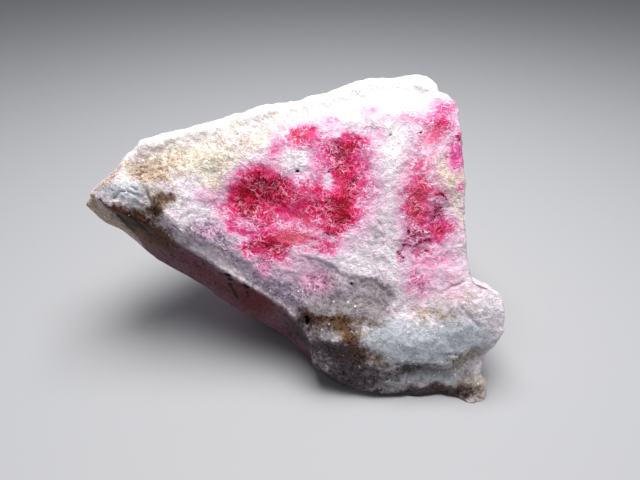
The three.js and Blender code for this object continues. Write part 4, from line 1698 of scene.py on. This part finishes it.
@dataclass(frozen=True)
class SugaryRock:
    """The stone's finish: sugary white grain with red, pink, cream, grey and ochre stains."""

    white_thread: Colour = tone(255, 248, 252)
    # painted shade as well as the rock's own lilac tint: the crust's hollows are painted darker than its
    # threads
    white_shaded_hollow: Colour = tone(232, 201, 218)
    under: tuple[Coat, ...] = (
        # painted highlight: near-white with hardly darker hollows, standing in for the strong light along
        # the top edge
        Coat(Stain.PAINTED_GLARE, tone(255, 253, 250), tone(246, 238, 238), 0.5),
        # the grey and pale tones are dim partly as painted shade, for these stains lie mostly low on the
        # face
        Coat(Stain.GREY, tone(170, 160, 163), tone(124, 111, 114)),
        Coat(Stain.LILAC, tone(186, 168, 188), tone(118, 96, 118)),
        Coat(Stain.PALE, tone(200, 203, 209), tone(158, 161, 168), 0.6),
        Coat(Stain.CREAM, tone(250, 240, 222), tone(196, 174, 144)),
        Coat(Stain.TAN, tone(206, 182, 160), tone(128, 102, 84)),
    )
    within: tuple[Coat, ...] = (
        Coat(Stain.PLUM, tone(222, 162, 194), tone(122, 42, 84), 0.8),
        Coat(Stain.VEIN, tone(166, 14, 70), tone(112, 0, 42), 0.6, 0.05, 0.5),
    )
    over: tuple[Coat, ...] = (
        # the slanting side's rind and blush: their own pinkish brown and deep red, painted darker as
        # painted shade, for that side faces away from the key light
        Coat(Stain.SHADED_RIND, tone(124, 86, 98), tone(72, 44, 52), 0.3),
        Coat(Stain.SHADED_BLUSH, tone(106, 50, 52), tone(62, 22, 24), 0.5),
        Coat(Stain.OCHRE, tone(114, 86, 60), tone(48, 31, 23), 0.9),
        # umber: the rock's own brown, dark enough to stand partly for the shade where it lies low on the
        # face
        Coat(Stain.UMBER, tone(92, 60, 44), tone(34, 18, 14), 0.9),
        # dark brown-grey, partly the rock's own and partly painted shade low on the face and under the
        # stone
        Coat(Stain.DIRT_AND_SHADE, tone(80, 70, 74), tone(32, 25, 27), 0.8),
    )
    dark_marks: Colour = tone(10, 4, 4)
    dark_marked: Ease = (0.1, 0.55)
    reds: Reds = Reds()
    frost: Frost = Frost()
    crust: Crust = Crust()
    painted_glints: PaintedGlints = PaintedGlints()
    medium: Grain = Grain(0.8, 3.0, 0.4, 0.13)
    fine: Grain = Grain(0.3, 3.0, 0.4, 0.31)
    unevenness: float = 0.8
    threaded: Ease = (0.0, 0.62)
    dull_roughness: float = 0.55
    glassy_roughness: float = 0.36
    specular: float = 0.12
    subsurface: float = 0.1
    glow_radius: tuple[float, float, float] = (1.0, 0.6, 0.6)
    glow_depth: float = 0.15

    def make(self, name: str) -> bpy.types.Material:
        """Makes the node material.

        Args:
            name: the material's name.

        Returns:
            The material.
        """
        material = bpy.data.materials.new(name)
        material.use_nodes = True
        bench = Bench(material)
        threads = self.crust.threads(bench)
        relief = self.crust.relief(bench, threads)
        glassy = bench.larger(bench.stain(Stain.GREY), bench.stain(Stain.PALE))
        painted_glints = self.painted_glints.laid(bench, glassy)
        shader = bench.add("ShaderNodeBsdfPrincipled")
        shader.inputs["Specular IOR Level"].default_value = self.specular
        shader.inputs["Subsurface Weight"].default_value = self.subsurface
        shader.inputs["Subsurface Radius"].default_value = self.glow_radius
        shader.inputs["Subsurface Scale"].default_value = self.glow_depth * MM
        # painted highlight: the glint cells are painted white in the base colour
        colour = bench.blend(self.colour(bench, threads, relief), self.painted_glints.colour, painted_glints)
        bench.feed(shader.inputs["Base Color"], colour)
        dull = bench.step(glassy, GLASSY_LOW, GLASSY_HIGH, self.dull_roughness, self.glassy_roughness)
        roughness = bench.step(painted_glints, 0.0, 1.0, dull, self.painted_glints.roughness)
        bench.feed(shader.inputs["Roughness"], roughness)
        bench.feed(shader.inputs["Normal"], self.crust.normal(bench, relief, glassy))
        output = bench.add("ShaderNodeOutputMaterial")
        bench.feed(output.inputs["Surface"], shader.outputs[0])
        return material

    def colour(self, bench: Bench, threads: Socket, relief: Socket) -> Socket:
        """Lays the stains over the white grain, from the palest to the darkest.

        Args:
            bench: where the nodes are laid out.
            threads: from 0 between the crystal threads to 1 on them.
            relief: the height of the crust, from 0 to 1.

        Returns:
            The finished colour.
        """
        medium = bench.noise(self.medium)
        ragged = bench.plus(bench.times(bench.noise(self.fine), 0.5), bench.times(medium, 0.5))
        raised = bench.plus(relief, bench.times(bench.less(medium, 0.5), self.unevenness))
        # the crust's hollows take each stain's darker hollow tone: painted shade of the relief, with the
        # stain's own tint
        thread = bench.step(raised, *self.threaded)
        colour = bench.blend(self.white_shaded_hollow, self.white_thread, thread)
        for coat in self.under:
            colour = coat.laid(bench, colour, thread, ragged)
        colour = self.reds.laid(bench, colour, ragged, threads)
        for coat in self.within:
            colour = coat.laid(bench, colour, thread, ragged)
        colour = self.frost.laid(bench, colour, threads)
        for coat in self.over:
            colour = coat.laid(bench, colour, thread, ragged)
        return bench.blend(colour, self.dark_marks, bench.step(bench.stain(Stain.DARK_MARKS), *self.dark_marked))


@dataclass
class Stone:
    """The whole stone: its shape, its stains and its finish."""

    shape: StoneShape = field(default_factory=StoneShape)
    finish: SugaryRock = SugaryRock()

    def build(self) -> bpy.types.Object:
        """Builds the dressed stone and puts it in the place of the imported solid.

        Returns:
            The stone's object.
        """
        mesh = self.shape.mesh(PIECE)
        self.lay_stains(mesh)
        mesh.polygons.foreach_set("use_smooth", np.ones(len(mesh.polygons), bool))
        mesh.materials.append(self.finish.make("sugary_tugtupite"))
        stone = bpy.data.objects.new(PIECE, mesh)
        bpy.context.scene.collection.objects.link(stone)
        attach(stone, BODY)
        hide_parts(NODE)
        return stone

    def lay_stains(self, mesh: bpy.types.Mesh) -> None:
        """Writes each stain's strengths to the mesh's point attribute of its name.

        Args:
            mesh: the stone's mesh, in metres.
        """
        points = np.zeros(len(mesh.vertices) * 3)
        mesh.vertices.foreach_get("co", points)
        chart = StainChart(self.shape).stains(points.reshape(-1, 3) / MM)
        for stain, strength in chart.items():
            attribute = mesh.attributes.new(stain.value, "FLOAT", "POINT")
            attribute.data.foreach_set("value", strength.astype(np.float32))


# ---- the studio ----
@dataclass
class Studio:
    """The pale floor, the soft key light, the sky and the camera.

    Sizes are in millimetres, but the floor's half side and the camera's far limit are in metres.
    """

    floor_half: float = 1.5
    floor_below: float = 0.02
    floor_tone: Colour = tone(178, 178, 180)
    floor_roughness: float = 0.9
    camera_at: tuple[float, float, float] = (2.237, -35.75, 32.57)
    camera_down_deg: float = 34.5
    camera_near: float = 1.0
    camera_far: float = 10.0
    lens: float = 30.375
    sensor: float = 36.0
    key_power: float = 0.165
    key_at: tuple[float, float, float] = (6.0, 2.0, 105.0)
    key_aim: tuple[float, float, float] = (0.0, 0.0, 8.0)
    key_size: float = 70.0
    sky_tone: Colour = tone(225, 230, 240)
    sky_strength: float = 0.22

    def build(self) -> None:
        """Builds the floor, lights and camera."""
        self.build_floor()
        self.build_key_light()
        self.build_sky()
        self.build_camera()
        bpy.context.scene.view_settings.view_transform = "Standard"

    def build_floor(self) -> None:
        """A flat square just under the stone."""
        half, under = self.floor_half, -self.floor_below * MM
        corners = [(-half, -half, under), (half, -half, under), (half, half, under), (-half, half, under)]
        mesh = bpy.data.meshes.new("floor")
        mesh.from_pydata(corners, [], [(0, 1, 2, 3)])
        material = bpy.data.materials.new("pale_floor")
        material.use_nodes = True
        shader = material.node_tree.nodes["Principled BSDF"]
        shader.inputs["Base Color"].default_value = self.floor_tone
        shader.inputs["Roughness"].default_value = self.floor_roughness
        mesh.materials.append(material)
        floor = bpy.data.objects.new("floor", mesh)
        bpy.context.scene.collection.objects.link(floor)

    def build_key_light(self) -> None:
        """A square soft light above the stone, turned to face it."""
        data = bpy.data.lights.new("key_light", "AREA")
        data.shape = "SQUARE"
        data.size = self.key_size * MM
        data.energy = self.key_power
        light = bpy.data.objects.new("key_light", data)
        light.location = Vector(self.key_at) * MM
        aim = Vector(self.key_aim) * MM - light.location
        light.rotation_euler = aim.to_track_quat("-Z", "Y").to_euler()
        bpy.context.scene.collection.objects.link(light)

    def build_sky(self) -> None:
        """An even, weak light from all round."""
        world = bpy.data.worlds.new("soft_sky")
        world.use_nodes = True
        background = world.node_tree.nodes["Background"]
        background.inputs["Color"].default_value = self.sky_tone
        background.inputs["Strength"].default_value = self.sky_strength
        bpy.context.scene.world = world

    def build_camera(self) -> None:
        """The camera, level from side to side and looking down at the stone."""
        data = bpy.data.cameras.new("camera")
        data.sensor_fit = "HORIZONTAL"
        data.sensor_width = self.sensor
        data.lens = self.lens
        data.clip_start = self.camera_near * MM
        data.clip_end = self.camera_far
        camera = bpy.data.objects.new("camera", data)
        camera.location = [value * MM for value in self.camera_at]
        camera.rotation_euler = (math.radians(90 - self.camera_down_deg), 0, 0)
        bpy.context.scene.collection.objects.link(camera)
        bpy.context.scene.camera = camera


def main() -> None:
    """Builds the studio and the stone."""
    logging.basicConfig(level=logging.INFO)
    Studio().build()
    log.info("studio: floor, key light, sky and camera")
    stone = Stone().build()
    log.info("%s: %d triangles", stone.name, len(stone.data.polygons))


if __name__ == "__main__":
    main()
